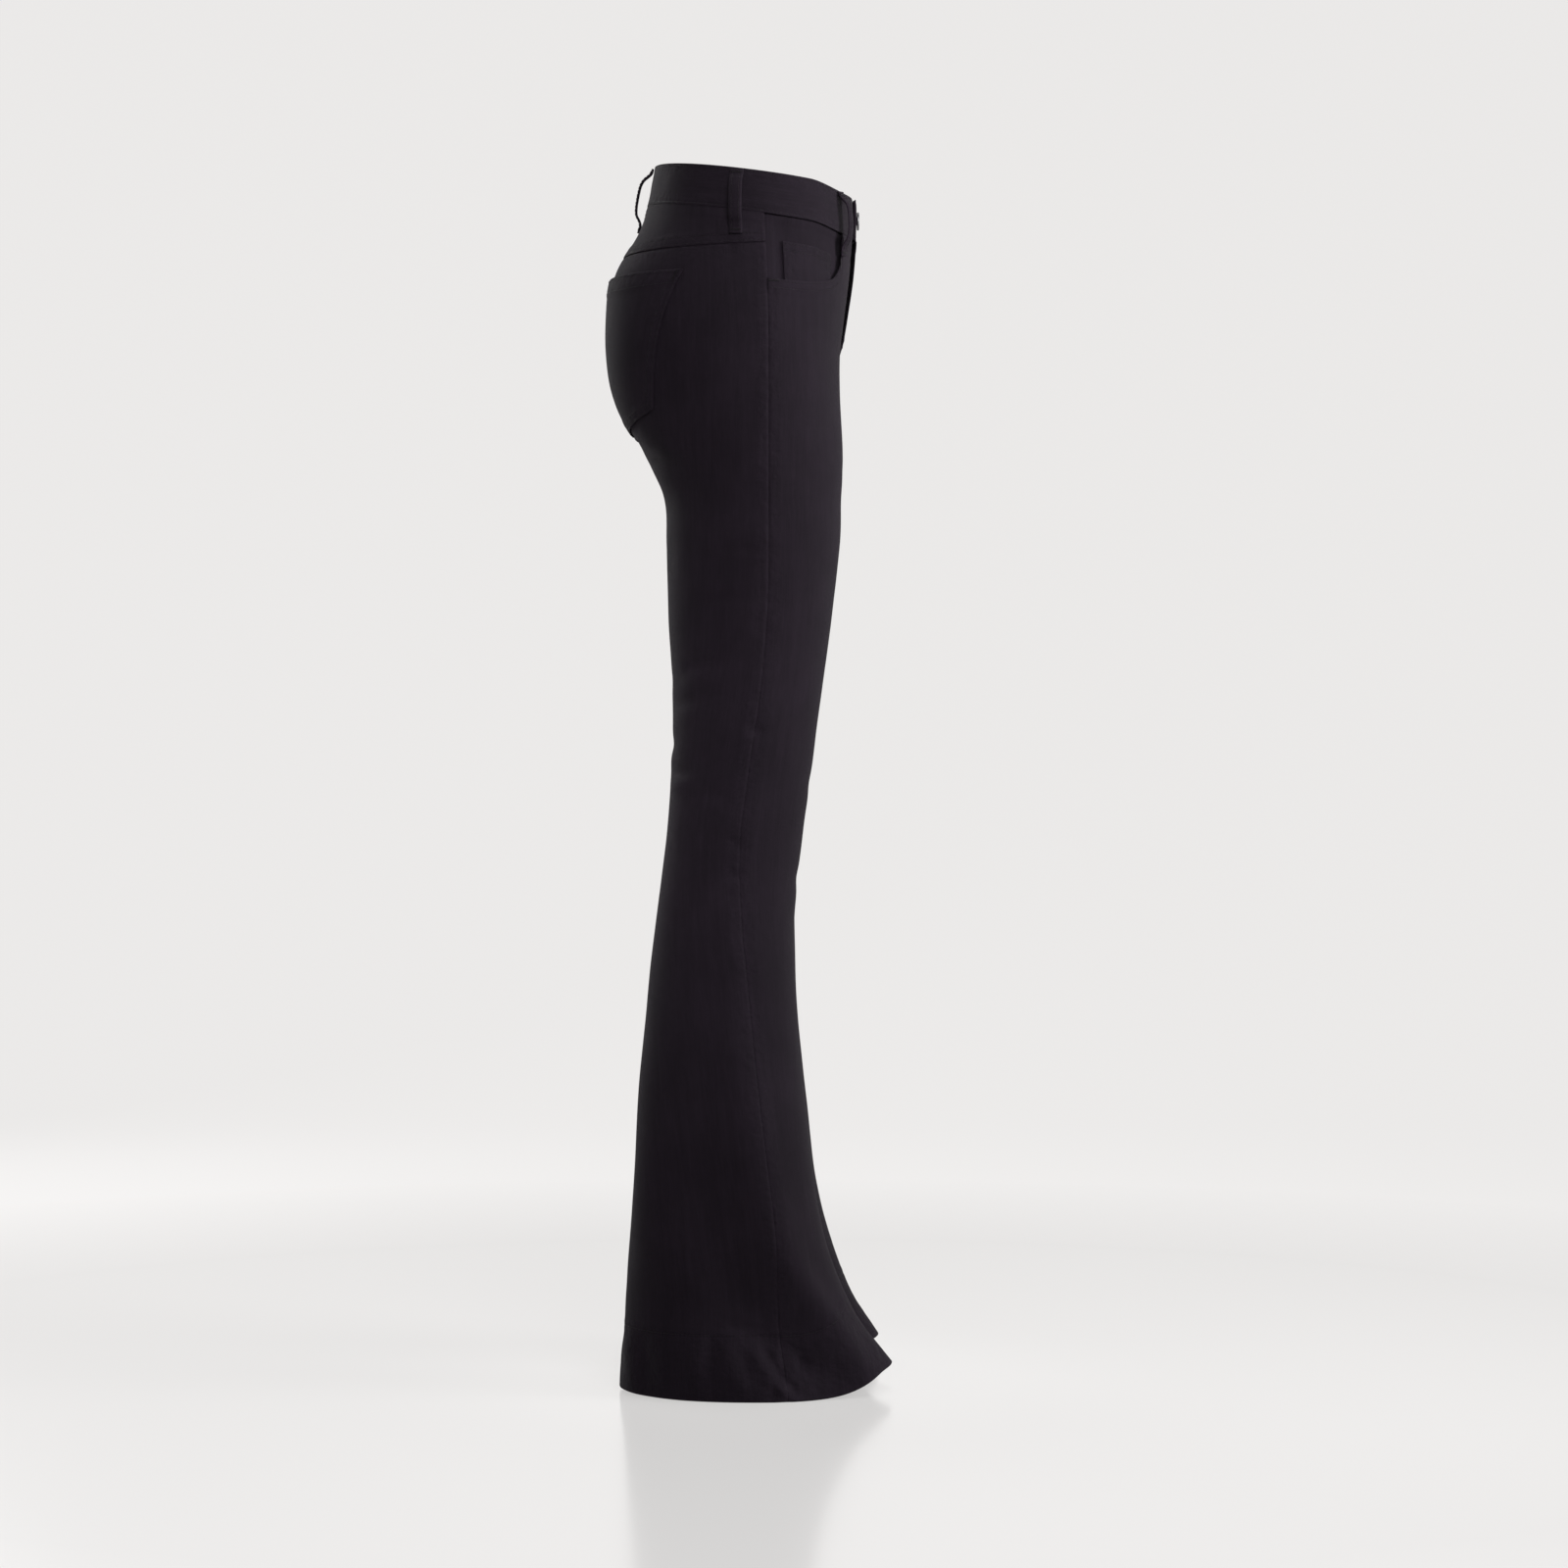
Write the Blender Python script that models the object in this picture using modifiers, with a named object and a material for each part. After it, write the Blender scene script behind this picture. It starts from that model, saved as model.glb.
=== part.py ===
"""Flared jeans: a hollow cloth garment in the form in which it is worn.

Metres, +Z up. The front faces -Y, and the wearer's right is -X. The origin is the centre of the waist opening,
at the height of the waistband's top edge at the centre back.

The cloth is one smooth form, given by a short table of level sections. A half section runs from its inner front
end, round the side, to its inner back end. Above the fork both ends lie on the centre seams. Below it they meet
on the inseam, so each leg is a closed ring. Every sewn piece is a stretch of that form, moved in or out by its
layer.
"""

import math
from collections import namedtuple

import bpy
import numpy as np
from mathutils import Matrix

# Cloth
DENIM = 0.0012
SEAM_GAP = 0.0003
BEDDING = 0.0005
BAND_THICK = 0.0030
BAND_PROUD = 0.0010
LOOP_THICK = 0.0020

# Waistband
WAIST_LEVEL = -0.0125
WAIST_TILT = 0.13
FRONT_DIP = 0.0060
BAND_HEIGHT = 0.038
UNDERLAP = 0.036
LAP_PAST_CENTRE = 0.004
LAP_LIFT = BAND_THICK + 0.0004
LAP_RISE_FROM = 0.060
LAP_RISE_TO = 0.042
BAND_STATIONS = 24
UNDERLAP_STATIONS = 5
LAP_STATIONS = (0.040, 0.034, 0.024, 0.014, 0.004)
LAP_CLEAR = 0.03

# Yoke, fly and hem
YOKE_SIDE_LEVEL = -0.0775
YOKE_CENTRE_LEVEL = -0.087
FLY_END_LEVEL = -0.166
FLY_WIDTH = 0.038
FLY_LAP = 0.006
FLY_LAP_SHARE = 0.25
FLY_LAP_STARTS = (0.62, 0.95)
FLY_LIFT = 0.0040
FLY_LIFT_FROM = 0.010
FLY_FADE_OVER = 0.004
FLY_FADE_UNDER = 0.024
HEM_LEVEL = -1.109
HEM_FRONT_RISE = 0.0255
HEM_BACK_RISE = 0.003
HEM_REACH = 0.129
LEFT_DRAWN_IN = 0.010
DRAWN_IN_UNDER = -0.980
HEM_DEPTH = 0.062
HEM_SLOPE_UNDER = -0.90

# Pockets
SCOOP_WIDTH = 0.100
SCOOP_DEPTH = 0.058
SCOOP_SQUARENESS = 2.6
FACING_OVERLAP = 0.018
SEWN_EDGE = 0.001
FACING_SIDE_SLOPE = 0.014
FACING_TOP_SLOPE = 0.010
COIN_FROM_SEAM = 0.016
COIN_WIDTH = 0.062
COIN_BELOW_BAND = 0.022
COIN_HEIGHT = 0.058
POCKET_WIDTH = 0.140
POCKET_FOOT_WIDTH = 0.116
POCKET_HEIGHT = 0.124
POCKET_POINT = 0.020
POCKET_FROM_CENTRE = 0.032
POCKET_UNDER_YOKE = 0.020
POCKET_MOUTH_DIP = 0.006
POCKET_LIFT = 0.0035
POCKET_LIFT_SHARE = 0.35
POCKET_CORNER_LIFT = 0.4
POCKET_ROWS_OVER = -0.25
EVEN_ROWS_UNDER = -0.42

# Belt loops: where each stands and how far its middle stands off the band. A loop's shape is given down its
# length, by how much of that distance it stands off. Its lower end is sewn to the cloth under the band.
LOOP_WIDTH = 0.012
LOOP_LENGTH = 0.058
LOOP_TOP_INSET = 0.0012
LOOP_HALF_REACH = 0.03
LoopRow = namedtuple("LoopRow", "drop share")
LOOP_ROWS = (
    LoopRow(0.000, 0.00),
    LoopRow(0.004, 0.00),
    LoopRow(0.009, 0.75),
    LoopRow(0.015, 1.00),
    LoopRow(0.034, 1.00),
    LoopRow(0.042, 0.80),
    LoopRow(0.048, 0.20),
)
LOOP_FOOT_DROP = 0.052
BeltLoop = namedtuple("BeltLoop", "name side s gap")
BELT_LOOPS = (
    BeltLoop("belt_loop_front_right", -1, 0.46, 0.0080),
    BeltLoop("belt_loop_front_left", 1, 0.46, 0.0080),
    BeltLoop("belt_loop_side_right", -1, 1.12, 0.0080),
    BeltLoop("belt_loop_side_left", 1, 1.12, 0.0080),
    BeltLoop("belt_loop_back", -1, 2.0, 0.0095),
)

# Button and zip
BUTTON_X = 0.008
BUTTON_RADIUS = 0.0085
BUTTON_DEPTH = 0.0026
SHANK_RADIUS = 0.0030
BUTTON_STEPS = 24
ButtonRing = namedtuple("ButtonRing", "radius height")
BUTTON_DOME = (
    ButtonRing(0.00, 1.00),
    ButtonRing(0.55, 1.00),
    ButtonRing(0.90, 0.80),
    ButtonRing(1.00, 0.45),
)
BUTTON_UNDERSIDE = 0.94
BUTTONHOLE = (0.0064, 0.0035)
BUTTONHOLE_SIDES = 20
ZIP_FACE = -DENIM - SEAM_GAP - BEDDING
ZIP_THICK = 0.0014
ZIP_UNDER_BAND = 0.001
ZIP_STATIONS = (-0.012, -0.006, 0.0, 0.006, 0.012, 0.018)
ZIP_END_LEVEL = FLY_END_LEVEL + 0.004
SLIDER_X = 0.0042
SLIDER_DROP = 0.008
SLIDER_SIZE = (0.0060, 0.0020, 0.0100)
SLIDER_BEVEL = 0.0005
TAB_SIZE = (0.0040, 0.0009, 0.0200)
TAB_BEVEL = 0.0003
TAB_OVERLAP = 0.004
LEAN_REACH = 0.004

# The form. For each level: the outermost x, the inner edge of the leg (under FORK_SOFT the two legs are joined),
# the y of the outermost point, the y of the frontmost and rearmost points and how far each is from the centre
# plane, the side seam's y, and how square the front and back are (2 is an ellipse).
FORK_SOFT = 0.010
Section = namedtuple(
    "Section", "z side_x inner_x mid_y front_y back_y front_x back_x seam_y front_n back_n"
)
SECTIONS = (
    Section(0.040, 0.129, -0.200, -0.002, -0.0855, 0.0870, 0.000, 0.000, -0.006, 2.15, 2.15),
    Section(-0.010, 0.134, -0.200, -0.001, -0.0877, 0.0915, 0.000, 0.000, -0.008, 2.15, 2.15),
    Section(-0.060, 0.147, -0.200, 0.002, -0.0888, 0.1045, 0.012, 0.016, -0.010, 2.20, 2.10),
    Section(-0.100, 0.160, -0.190, 0.005, -0.0865, 0.1260, 0.030, 0.036, -0.012, 2.20, 2.05),
    Section(-0.140, 0.169, -0.150, 0.006, -0.0815, 0.1320, 0.050, 0.056, -0.013, 2.20, 2.05),
    Section(-0.175, 0.1725, -0.100, 0.005, -0.0775, 0.1318, 0.066, 0.066, -0.0135, 2.20, 2.05),
    Section(-0.210, 0.1735, -0.048, 0.003, -0.0775, 0.1262, 0.078, 0.074, -0.0135, 2.15, 2.05),
    Section(-0.235, 0.1732, -0.015, 0.001, -0.0785, 0.1165, 0.084, 0.080, -0.0135, 2.10, 2.05),
    Section(-0.255, 0.1725, 0.010, 0.000, -0.0795, 0.1048, 0.087, 0.084, -0.0135, 2.08, 2.05),
    Section(-0.275, 0.1712, 0.0170, -0.001, -0.0797, 0.0925, 0.088, 0.087, -0.0135, 2.05, 2.05),
    Section(-0.305, 0.1690, 0.0205, -0.002, -0.0783, 0.0805, 0.088, 0.088, -0.0135, 2.05, 2.05),
    Section(-0.345, 0.1662, 0.0240, -0.002, -0.0775, 0.0785, 0.088, 0.088, -0.0135, 2.05, 2.05),
    Section(-0.410, 0.1618, 0.0280, 0.001, -0.0700, 0.0772, 0.089, 0.089, -0.012, 2.05, 2.05),
    Section(-0.475, 0.1575, 0.0310, 0.006, -0.0615, 0.0735, 0.090, 0.090, -0.006, 2.05, 2.05),
    Section(-0.545, 0.1538, 0.0325, 0.012, -0.0518, 0.0745, 0.091, 0.091, 0.004, 2.05, 2.05),
    Section(-0.610, 0.1532, 0.0310, 0.017, -0.0438, 0.0793, 0.091, 0.091, 0.012, 2.05, 2.05),
    Section(-0.680, 0.1555, 0.0275, 0.023, -0.0370, 0.0880, 0.091, 0.091, 0.011, 2.05, 2.05),
    Section(-0.755, 0.1595, 0.0235, 0.026, -0.0383, 0.0968, 0.091, 0.091, 0.004, 2.05, 2.05),
    Section(-0.830, 0.1640, 0.0197, 0.026, -0.0442, 0.1040, 0.091, 0.091, -0.003, 2.02, 2.05),
    Section(-0.900, 0.1678, 0.0172, 0.023, -0.0523, 0.1085, 0.091, 0.091, -0.011, 1.98, 2.05),
    Section(-0.940, 0.1695, 0.0161, 0.019, -0.0575, 0.1118, 0.091, 0.091, -0.016, 1.96, 2.05),
    Section(-0.975, 0.1708, 0.0154, 0.014, -0.0648, 0.1143, 0.091, 0.091, -0.020, 1.94, 2.05),
    Section(-1.010, 0.1720, 0.0149, 0.009, -0.0768, 0.1172, 0.091, 0.091, -0.024, 1.90, 2.05),
    Section(-1.045, 0.1732, 0.0143, 0.004, -0.0938, 0.1196, 0.092, 0.091, -0.027, 1.86, 2.05),
    Section(-1.075, 0.1740, 0.0140, 0.001, -0.1165, 0.1210, 0.092, 0.091, -0.029, 1.84, 2.05),
    Section(-1.112, 0.1748, 0.0138, -0.001, -0.1480, 0.1218, 0.092, 0.091, -0.031, 1.84, 2.05),
)

# The largest folds of each leg: a line down the cloth, by level and distance from the side seam (minus is towards
# the front), with how far the cloth moves out there (minus is in) and how wide the fold is.
FoldPoint = namedtuple("FoldPoint", "z from_seam depth width")
FLARE_HOLLOW = (
    FoldPoint(-0.600, 0.060, 0.0000, 0.040),
    FoldPoint(-0.700, 0.064, -0.0015, 0.040),
    FoldPoint(-0.777, 0.070, -0.0040, 0.042),
    FoldPoint(-0.838, 0.066, -0.0065, 0.044),
    FoldPoint(-0.899, 0.063, -0.0088, 0.046),
    FoldPoint(-0.942, 0.058, -0.0104, 0.046),
    FoldPoint(-0.977, 0.050, -0.0115, 0.046),
    FoldPoint(-1.003, 0.038, -0.0118, 0.045),
    FoldPoint(-1.025, 0.024, -0.0114, 0.043),
    FoldPoint(-1.047, 0.007, -0.0108, 0.040),
    FoldPoint(-1.068, -0.008, -0.0094, 0.036),
    FoldPoint(-1.112, -0.044, -0.0062, 0.032),
)
SHIN_RIDGE = (
    FoldPoint(-0.640, 0.010, 0.0000, 0.021),
    FoldPoint(-0.700, 0.013, 0.0022, 0.021),
    FoldPoint(-0.777, 0.020, 0.0036, 0.020),
    FoldPoint(-0.838, 0.012, 0.0042, 0.021),
    FoldPoint(-0.899, 0.005, 0.0046, 0.022),
    FoldPoint(-0.942, -0.002, 0.0052, 0.021),
    FoldPoint(-0.977, -0.011, 0.0058, 0.020),
    FoldPoint(-1.003, -0.023, 0.0064, 0.019),
    FoldPoint(-1.025, -0.036, 0.0064, 0.019),
    FoldPoint(-1.047, -0.052, 0.0060, 0.019),
    FoldPoint(-1.068, -0.063, 0.0052, 0.019),
    FoldPoint(-1.112, -0.094, 0.0030, 0.020),
)
FOLDS = (FLARE_HOLLOW, SHIN_RIDGE)
FORK_LEVEL = -0.255

# Rows of points down each panel: their levels at the side seam and at the centre seam, which turns into the
# inseam at FORK_LEVEL, so they are close together there. The back's first rows are the back pocket's.
PanelRow = namedtuple("PanelRow", "side centre")
FORK_ROWS = (
    PanelRow(-0.237, -0.2435),
    PanelRow(-0.252, -0.2500),
    PanelRow(-0.266, -0.2537),
    PanelRow(-0.279, -0.2568),
    PanelRow(-0.293, -0.2635),
    PanelRow(-0.312, -0.279),
)
HIP_ROWS = (
    PanelRow(-0.100, -0.0554),
    PanelRow(-0.126, -0.096),
    PanelRow(-0.150, -0.136),
    PanelRow(-0.168, -0.163),
    PanelRow(-0.183, -0.1765),
    PanelRow(-0.199, -0.192),
    PanelRow(-0.217, -0.2165),
)
LEG_ROWS = (-0.338, -0.388, -0.442, -0.496, -0.550, -0.602)
FLARE_ROWS = 10
HEM_ROWS = (1.0, 0.5, 0.0)
POCKET_ROWS = (0.0, 0.09, 0.26, 0.50, 0.75, 1.0)
POCKET_POINT_FADE = (0.55, 0.32, 0.14, 0.04)

# Columns of points across each panel. The ones next to a seam are close to it, so that two panels' edges match.
EDGE_SHARE = 0.030
FRONT_COLUMNS = 13
BACK_OUTER_SHARES = (0.0, 0.14, 0.56, 1.0)
BACK_INNER_SHARES = (0.0, 0.44, 0.86, 1.0)
BACK_OUTER_COLUMNS = len(BACK_OUTER_SHARES) - 1
POCKET_COLUMNS = 6
BACK_COLUMNS = BACK_OUTER_COLUMNS + POCKET_COLUMNS + len(BACK_INNER_SHARES)
YOKE_ROWS = 4
FACING_ROWS = 6
FACING_COLUMNS = 8
COIN_ROWS = 5
COIN_COLUMNS = 6
ZIP_ROWS = 6
ARC_POINTS = 40
STEP_S = 0.004
STEP_Z = 0.0005


# ---------------------------------------------------------------- the form


def smooth_column(rows, column, level):
    """A column of a table at any level, on a smooth curve through its rows."""
    z = np.array([row.z for row in rows])[::-1]
    value = np.array([getattr(row, column) for row in rows])[::-1]
    level = np.clip(np.asarray(level, float), z[0], z[-1])
    slope = np.gradient(value, z)
    i = np.clip(np.searchsorted(z, level) - 1, 0, len(z) - 2)
    span = z[i + 1] - z[i]
    t = (level - z[i]) / span
    rise = value[i + 1] - value[i]
    start, end = slope[i] * span, slope[i + 1] * span
    return value[i] + t * (start + t * (3 * rise - 2 * start - end + t * (start + end - 2 * rise)))


def smoothstep(edge0, edge1, x):
    t = np.clip((np.asarray(x, float) - edge0) / (edge1 - edge0), 0.0, 1.0)
    return t * t * (3 - 2 * t)


def half_outline(level):
    """The half section at each level, as rows of x and y, with its running length and where the side seam is."""
    c = {name: smooth_column(SECTIONS, name, level)[:, None] for name in Section._fields[1:]}
    xs, ys = [], []
    for end, n, sign, extent in (
        (c["front_x"], c["front_n"], -1, c["mid_y"] - c["front_y"]),
        (c["back_x"], c["back_n"], 1, c["back_y"] - c["mid_y"]),
    ):
        soft = np.minimum(FORK_SOFT, end)
        reach = (end - soft) / (end - c["inner_x"])
        first = np.arcsin(np.clip(reach, 0, 1) ** (n / 2))
        share = np.broadcast_to(np.linspace(0, 1, ARC_POINTS), (len(end), ARC_POINTS))
        inner = first * (1 - share)
        outer = np.pi / 2 * share
        x_inner = end - (end - c["inner_x"]) * np.sin(inner) ** (2 / n)
        x_outer = end + (c["side_x"] - end) * np.sin(outer) ** (2 / n)
        x = np.concatenate([x_inner, x_outer[:, 1:]], axis=1)
        angle = np.concatenate([inner, outer[:, 1:]], axis=1)
        y = c["mid_y"] + sign * extent * np.abs(np.cos(angle)) ** (2 / n)
        xs.append(np.sqrt(np.maximum(x * x - soft * soft, 0)))
        ys.append(y)
    x = np.concatenate([xs[0], xs[1][:, ::-1][:, 1:]], axis=1)
    y = np.concatenate([ys[0], ys[1][:, ::-1][:, 1:]], axis=1)
    step = np.hypot(np.diff(x, axis=1), np.diff(y, axis=1))
    run = np.concatenate([np.zeros((len(x), 1)), np.cumsum(step, axis=1)], axis=1)
    outer_part = slice(ARC_POINTS, 3 * ARC_POINTS - 3)
    rows = zip(c["seam_y"][:, 0], y[:, outer_part], run[:, outer_part])
    seam = np.array([np.interp(seam_y, row_y, row_run) for seam_y, row_y, row_run in rows])
    return x, y, run, seam


def girths(level):
    """How long the front and the back of the half section are at each level."""
    _, _, run, seam = half_outline(np.atleast_1d(level))
    return seam, run[:, -1] - seam


def form_points(s, z):
    """Points of the right half's form. s is 0 at the inner front end, 1 at the side seam and 2 at the inner back
    end."""
    x, y, run, seam = half_outline(z)
    total = run[:, -1]
    at = np.where(s < 1, s * seam, seam + (s - 1) * (total - seam))
    out = np.empty((len(z), 3))
    for i in range(len(z)):
        out[i] = np.interp(at[i], run[i], x[i]), np.interp(at[i], run[i], y[i]), z[i]
    return out


def fold_height(s, z):
    """How far the folds move the cloth out at each point."""
    front, back = girths(z)
    from_seam = np.where(s < 1, (s - 1) * front, (s - 1) * back)
    height = np.zeros(len(z))
    for fold in FOLDS:
        axis = smooth_column(fold, "from_seam", z)
        depth = smooth_column(fold, "depth", z)
        width = smooth_column(fold, "width", z)
        inside = z <= fold[0].z
        height += np.where(inside, depth * np.exp(-(((from_seam - axis) / width) ** 2)), 0.0)
    return height


def cloth_points(side, s, z, out=0.0):
    """Points on the folded cloth's outside, moved out by a distance. side is -1 on the wearer's right and 1 on the
    left, whose hem reaches less far forward. A minus s is past the centre plane."""
    s, z = np.broadcast_arrays(np.asarray(s, float), np.asarray(z, float))
    shape = s.shape
    s, z = s.ravel(), z.ravel()
    out = np.broadcast_to(out, shape).ravel()
    across = np.where(s < 0, -side, side)
    s = np.abs(s)
    base = form_points(s, z)
    low, high = np.maximum(s - STEP_S, 0), np.minimum(s + STEP_S, 2)
    along = form_points(high, z) - form_points(low, z)
    down = form_points(s, z - STEP_Z) - form_points(s, z + STEP_Z)
    normal = np.cross(down, along)
    normal /= np.linalg.norm(normal, axis=1)[:, None]
    points = base + normal * (fold_height(s, z) + out)[:, None]
    points[:, 0] *= across
    left_hem = np.where(across > 0, smoothstep(DRAWN_IN_UNDER, HEM_LEVEL, z), 0.0)
    points[:, 1] += LEFT_DRAWN_IN * left_hem * np.clip(-points[:, 1] / HEM_REACH, 0, 1)
    return points.reshape(*shape, 3)


def waist_edge(s, drop):
    """The level at which a line parallel to the waistband's top edge, that far under it, crosses s."""
    s = np.asarray(s, float)
    z = np.full(s.shape, WAIST_LEVEL - drop)
    for _ in range(3):
        y = form_points(s.ravel(), z.ravel())[:, 1].reshape(s.shape)
        z = WAIST_LEVEL - drop + WAIST_TILT * y - FRONT_DIP * smoothstep(0.050, 0.086, -y)
    return z


def hem_edge(s):
    """The level of the hem's lower edge at s. It rises over the instep."""
    s = np.asarray(s, float)
    y = form_points(s.ravel(), np.full(s.size, HEM_LEVEL))[:, 1].reshape(s.shape)
    steep = np.clip(-y / HEM_REACH, 0, None) ** 4
    front_rise = HEM_FRONT_RISE * steep / (1 + steep**3) ** (1 / 3)
    back_rise = HEM_BACK_RISE * np.clip(y / HEM_REACH, 0, 1) ** 4
    return HEM_LEVEL + front_rise + back_rise


def yoke_edge(s):
    """The level of the yoke's lower seam, from the side seam to the centre back."""
    return YOKE_SIDE_LEVEL + (YOKE_CENTRE_LEVEL - YOKE_SIDE_LEVEL) * (np.asarray(s, float) - 1)


def scoop_edge(s):
    """The upper edge of the front: the waistband's seam, then down round the pocket mouth to the side seam."""
    s = np.asarray(s, float)
    top = waist_edge(s, BAND_HEIGHT)
    front, _ = girths(top.ravel())
    from_seam = (1 - s) * front.reshape(s.shape)
    inside = np.clip(from_seam / SCOOP_WIDTH, 0, 1)
    n = SCOOP_SQUARENESS
    return top - SCOOP_DEPTH * (1 - inside**n) ** (1 / n)


# ---------------------------------------------------------------- solids


def material(name, colour, roughness, metallic=0.0):
    made = bpy.data.materials.new(name)
    made.use_nodes = True
    shader = made.node_tree.nodes["Principled BSDF"]
    shader.inputs["Base Color"].default_value = (*colour, 1.0)
    shader.inputs["Roughness"].default_value = roughness
    shader.inputs["Metallic"].default_value = metallic
    return made


def add(name, mesh, collection, finish):
    obj = bpy.data.objects.new(name, mesh)
    obj.data.materials.append(finish)
    collection.objects.link(obj)
    return obj


def cloth_wall(name, grid, thick, collection, finish, flip=False, ring=False):
    """An open surface through rows of points, with Solidify for the cloth's thickness. Every surface is cut along the
    same diagonal, so that layers lie flat on each other. Its columns join end to end if it is a ring."""
    rows, columns = grid.shape[:2]
    faces = []
    for i in range(rows - 1):
        for j in range(columns if ring else columns - 1):
            a, b = i * columns + j, i * columns + (j + 1) % columns
            faces += [(a, b, a + columns), (b, b + columns, a + columns)]
    if flip:
        faces = [face[::-1] for face in faces]
    mesh = bpy.data.meshes.new(name)
    mesh.from_pydata(grid.reshape(-1, 3).tolist(), [], faces)
    mesh.shade_smooth()
    made = add(name, mesh, collection, finish)
    wall = made.modifiers.new("cloth", "SOLIDIFY")
    wall.thickness = thick
    wall.offset = -1.0
    return made


def panel(name, side, s, z, outer, thick, collection, finish, ring=False):
    """A stretch of the form as a wall, its outside moved out by outer."""
    points = cloth_points(side, s, z, outer)
    return cloth_wall(name, points, thick, collection, finish, flip=side > 0, ring=ring)


def column_shares(count):
    """Shares of a panel's width, evenly spaced but for the columns next to its seams."""
    return np.concatenate([[0.0], np.linspace(EDGE_SHARE, 1 - EDGE_SHARE, count - 2), [1.0]])


def between_seams(shares, level, first, last):
    """The s of each share of the stretch from first to last, half a seam gap inside both."""
    front, back = girths(level.ravel())
    length = (front if last <= 1 else back).reshape(level.shape)
    trim = SEAM_GAP / 2 / length
    return first + trim + shares * (last - first - 2 * trim)


def leg_levels(hips, bottom):
    """Levels of a panel's points, under the rows of its hips. The last rows are those of the turned-up hem."""
    shares = column_shares(len(bottom))
    fork = [row.side + (row.centre - row.side) * shares for row in FORK_ROWS]
    last = HEM_LEVEL + HEM_DEPTH
    leg = np.concatenate([LEG_ROWS, np.linspace(LEG_ROWS[-1], last, FLARE_ROWS + 1)[1:]])
    down = smoothstep(HEM_SLOPE_UNDER, last, leg)
    leg = leg[:, None] + down[:, None] * (bottom - HEM_LEVEL)[None, :]
    return np.concatenate([hips, fork, leg, [bottom + HEM_DEPTH * share for share in HEM_ROWS[1:]]])


# ---------------------------------------------------------------- the pieces


def above_fly_end(z):
    """1 beside the open part of the fly and 0 under its end."""
    return smoothstep(FLY_END_LEVEL - FLY_FADE_UNDER, FLY_END_LEVEL + FLY_FADE_OVER, z)


def fly_lift(s, z):
    """How far the left front's edge stands over the right front along the fly."""
    front, _ = girths(z.ravel())
    across = s * front.reshape(z.shape)
    near_edge = 1 - smoothstep(FLY_LIFT_FROM, FLY_WIDTH, across)
    return FLY_LIFT * near_edge * above_fly_end(z)


def front(name, side, collection, finish):
    """The left front laps over the right one along the fly."""
    shares = column_shares(FRONT_COLUMNS)
    top = scoop_edge(shares) - SEAM_GAP
    straight = [row.centre + (row.side - row.centre) * shares for row in HIP_ROWS]
    fade = np.linspace(1, 0, len(HIP_ROWS))
    hips = [line + share * (top - straight[0]) for line, share in zip(straight, fade)]
    z = leg_levels(hips, hem_edge(shares)[::-1])
    count = len(HIP_ROWS)
    z[count:] = z[count:, ::-1]
    s = between_seams(shares[None, :], z, 0, 1)
    lift = 0.0
    if side > 0:
        front_girth, _ = girths(z.ravel())
        lap = FLY_LAP * smoothstep(*FLY_LAP_STARTS, above_fly_end(z))
        lap = lap * (1 - smoothstep(0, FLY_LAP_SHARE, shares))[None, :]
        s = s - lap / front_girth.reshape(z.shape)
        lift = fly_lift(s, z)
    panel(name, side, s, z, lift, DENIM, collection, finish)


def back_grid():
    """The s and the level of the back's points, whose rows and columns follow the back pocket's edges."""
    shares = column_shares(BACK_COLUMNS)
    seam = yoke_edge(1 + shares)
    first, last = BACK_OUTER_COLUMNS, BACK_OUTER_COLUMNS + POCKET_COLUMNS
    across = np.clip((np.arange(BACK_COLUMNS) - first) / POCKET_COLUMNS, 0, 1)
    point = POCKET_POINT * (1 - np.abs(2 * across - 1))
    mouth = seam - POCKET_UNDER_YOKE - POCKET_MOUTH_DIP * across
    hips = [seam - SEAM_GAP / 2] + [mouth - (POCKET_HEIGHT + point) * v for v in POCKET_ROWS]
    z = leg_levels(hips, hem_edge(1 + shares))
    for i, share in enumerate(POCKET_POINT_FADE):
        z[len(hips) + i] -= point * share
    _, girth = girths(z.ravel())
    girth = girth.reshape(z.shape)
    v = np.clip((mouth[None, :] - z) / POCKET_HEIGHT, 0, 1.1)
    narrowing = (POCKET_WIDTH - POCKET_FOOT_WIDTH) / 2 * v
    inner = 1 - (POCKET_FROM_CENTRE + narrowing) / girth
    outer = 1 - (POCKET_FROM_CENTRE + POCKET_WIDTH - narrowing) / girth
    aligned = np.concatenate(
        [
            outer[:, :first] * BACK_OUTER_SHARES[:-1],
            outer[:, first:last] + (inner - outer)[:, first:last] * across[first:last],
            inner[:, last:] + (1 - inner)[:, last:] * BACK_INNER_SHARES,
        ],
        axis=1,
    )
    pockets = smoothstep(EVEN_ROWS_UNDER, POCKET_ROWS_OVER, z)
    return between_seams(pockets * aligned + (1 - pockets) * shares[None, :], z, 1, 2), z


def back(name, side, collection, finish):
    s, z = back_grid()
    panel(name, side, s, z, 0.0, DENIM, collection, finish)


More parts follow.
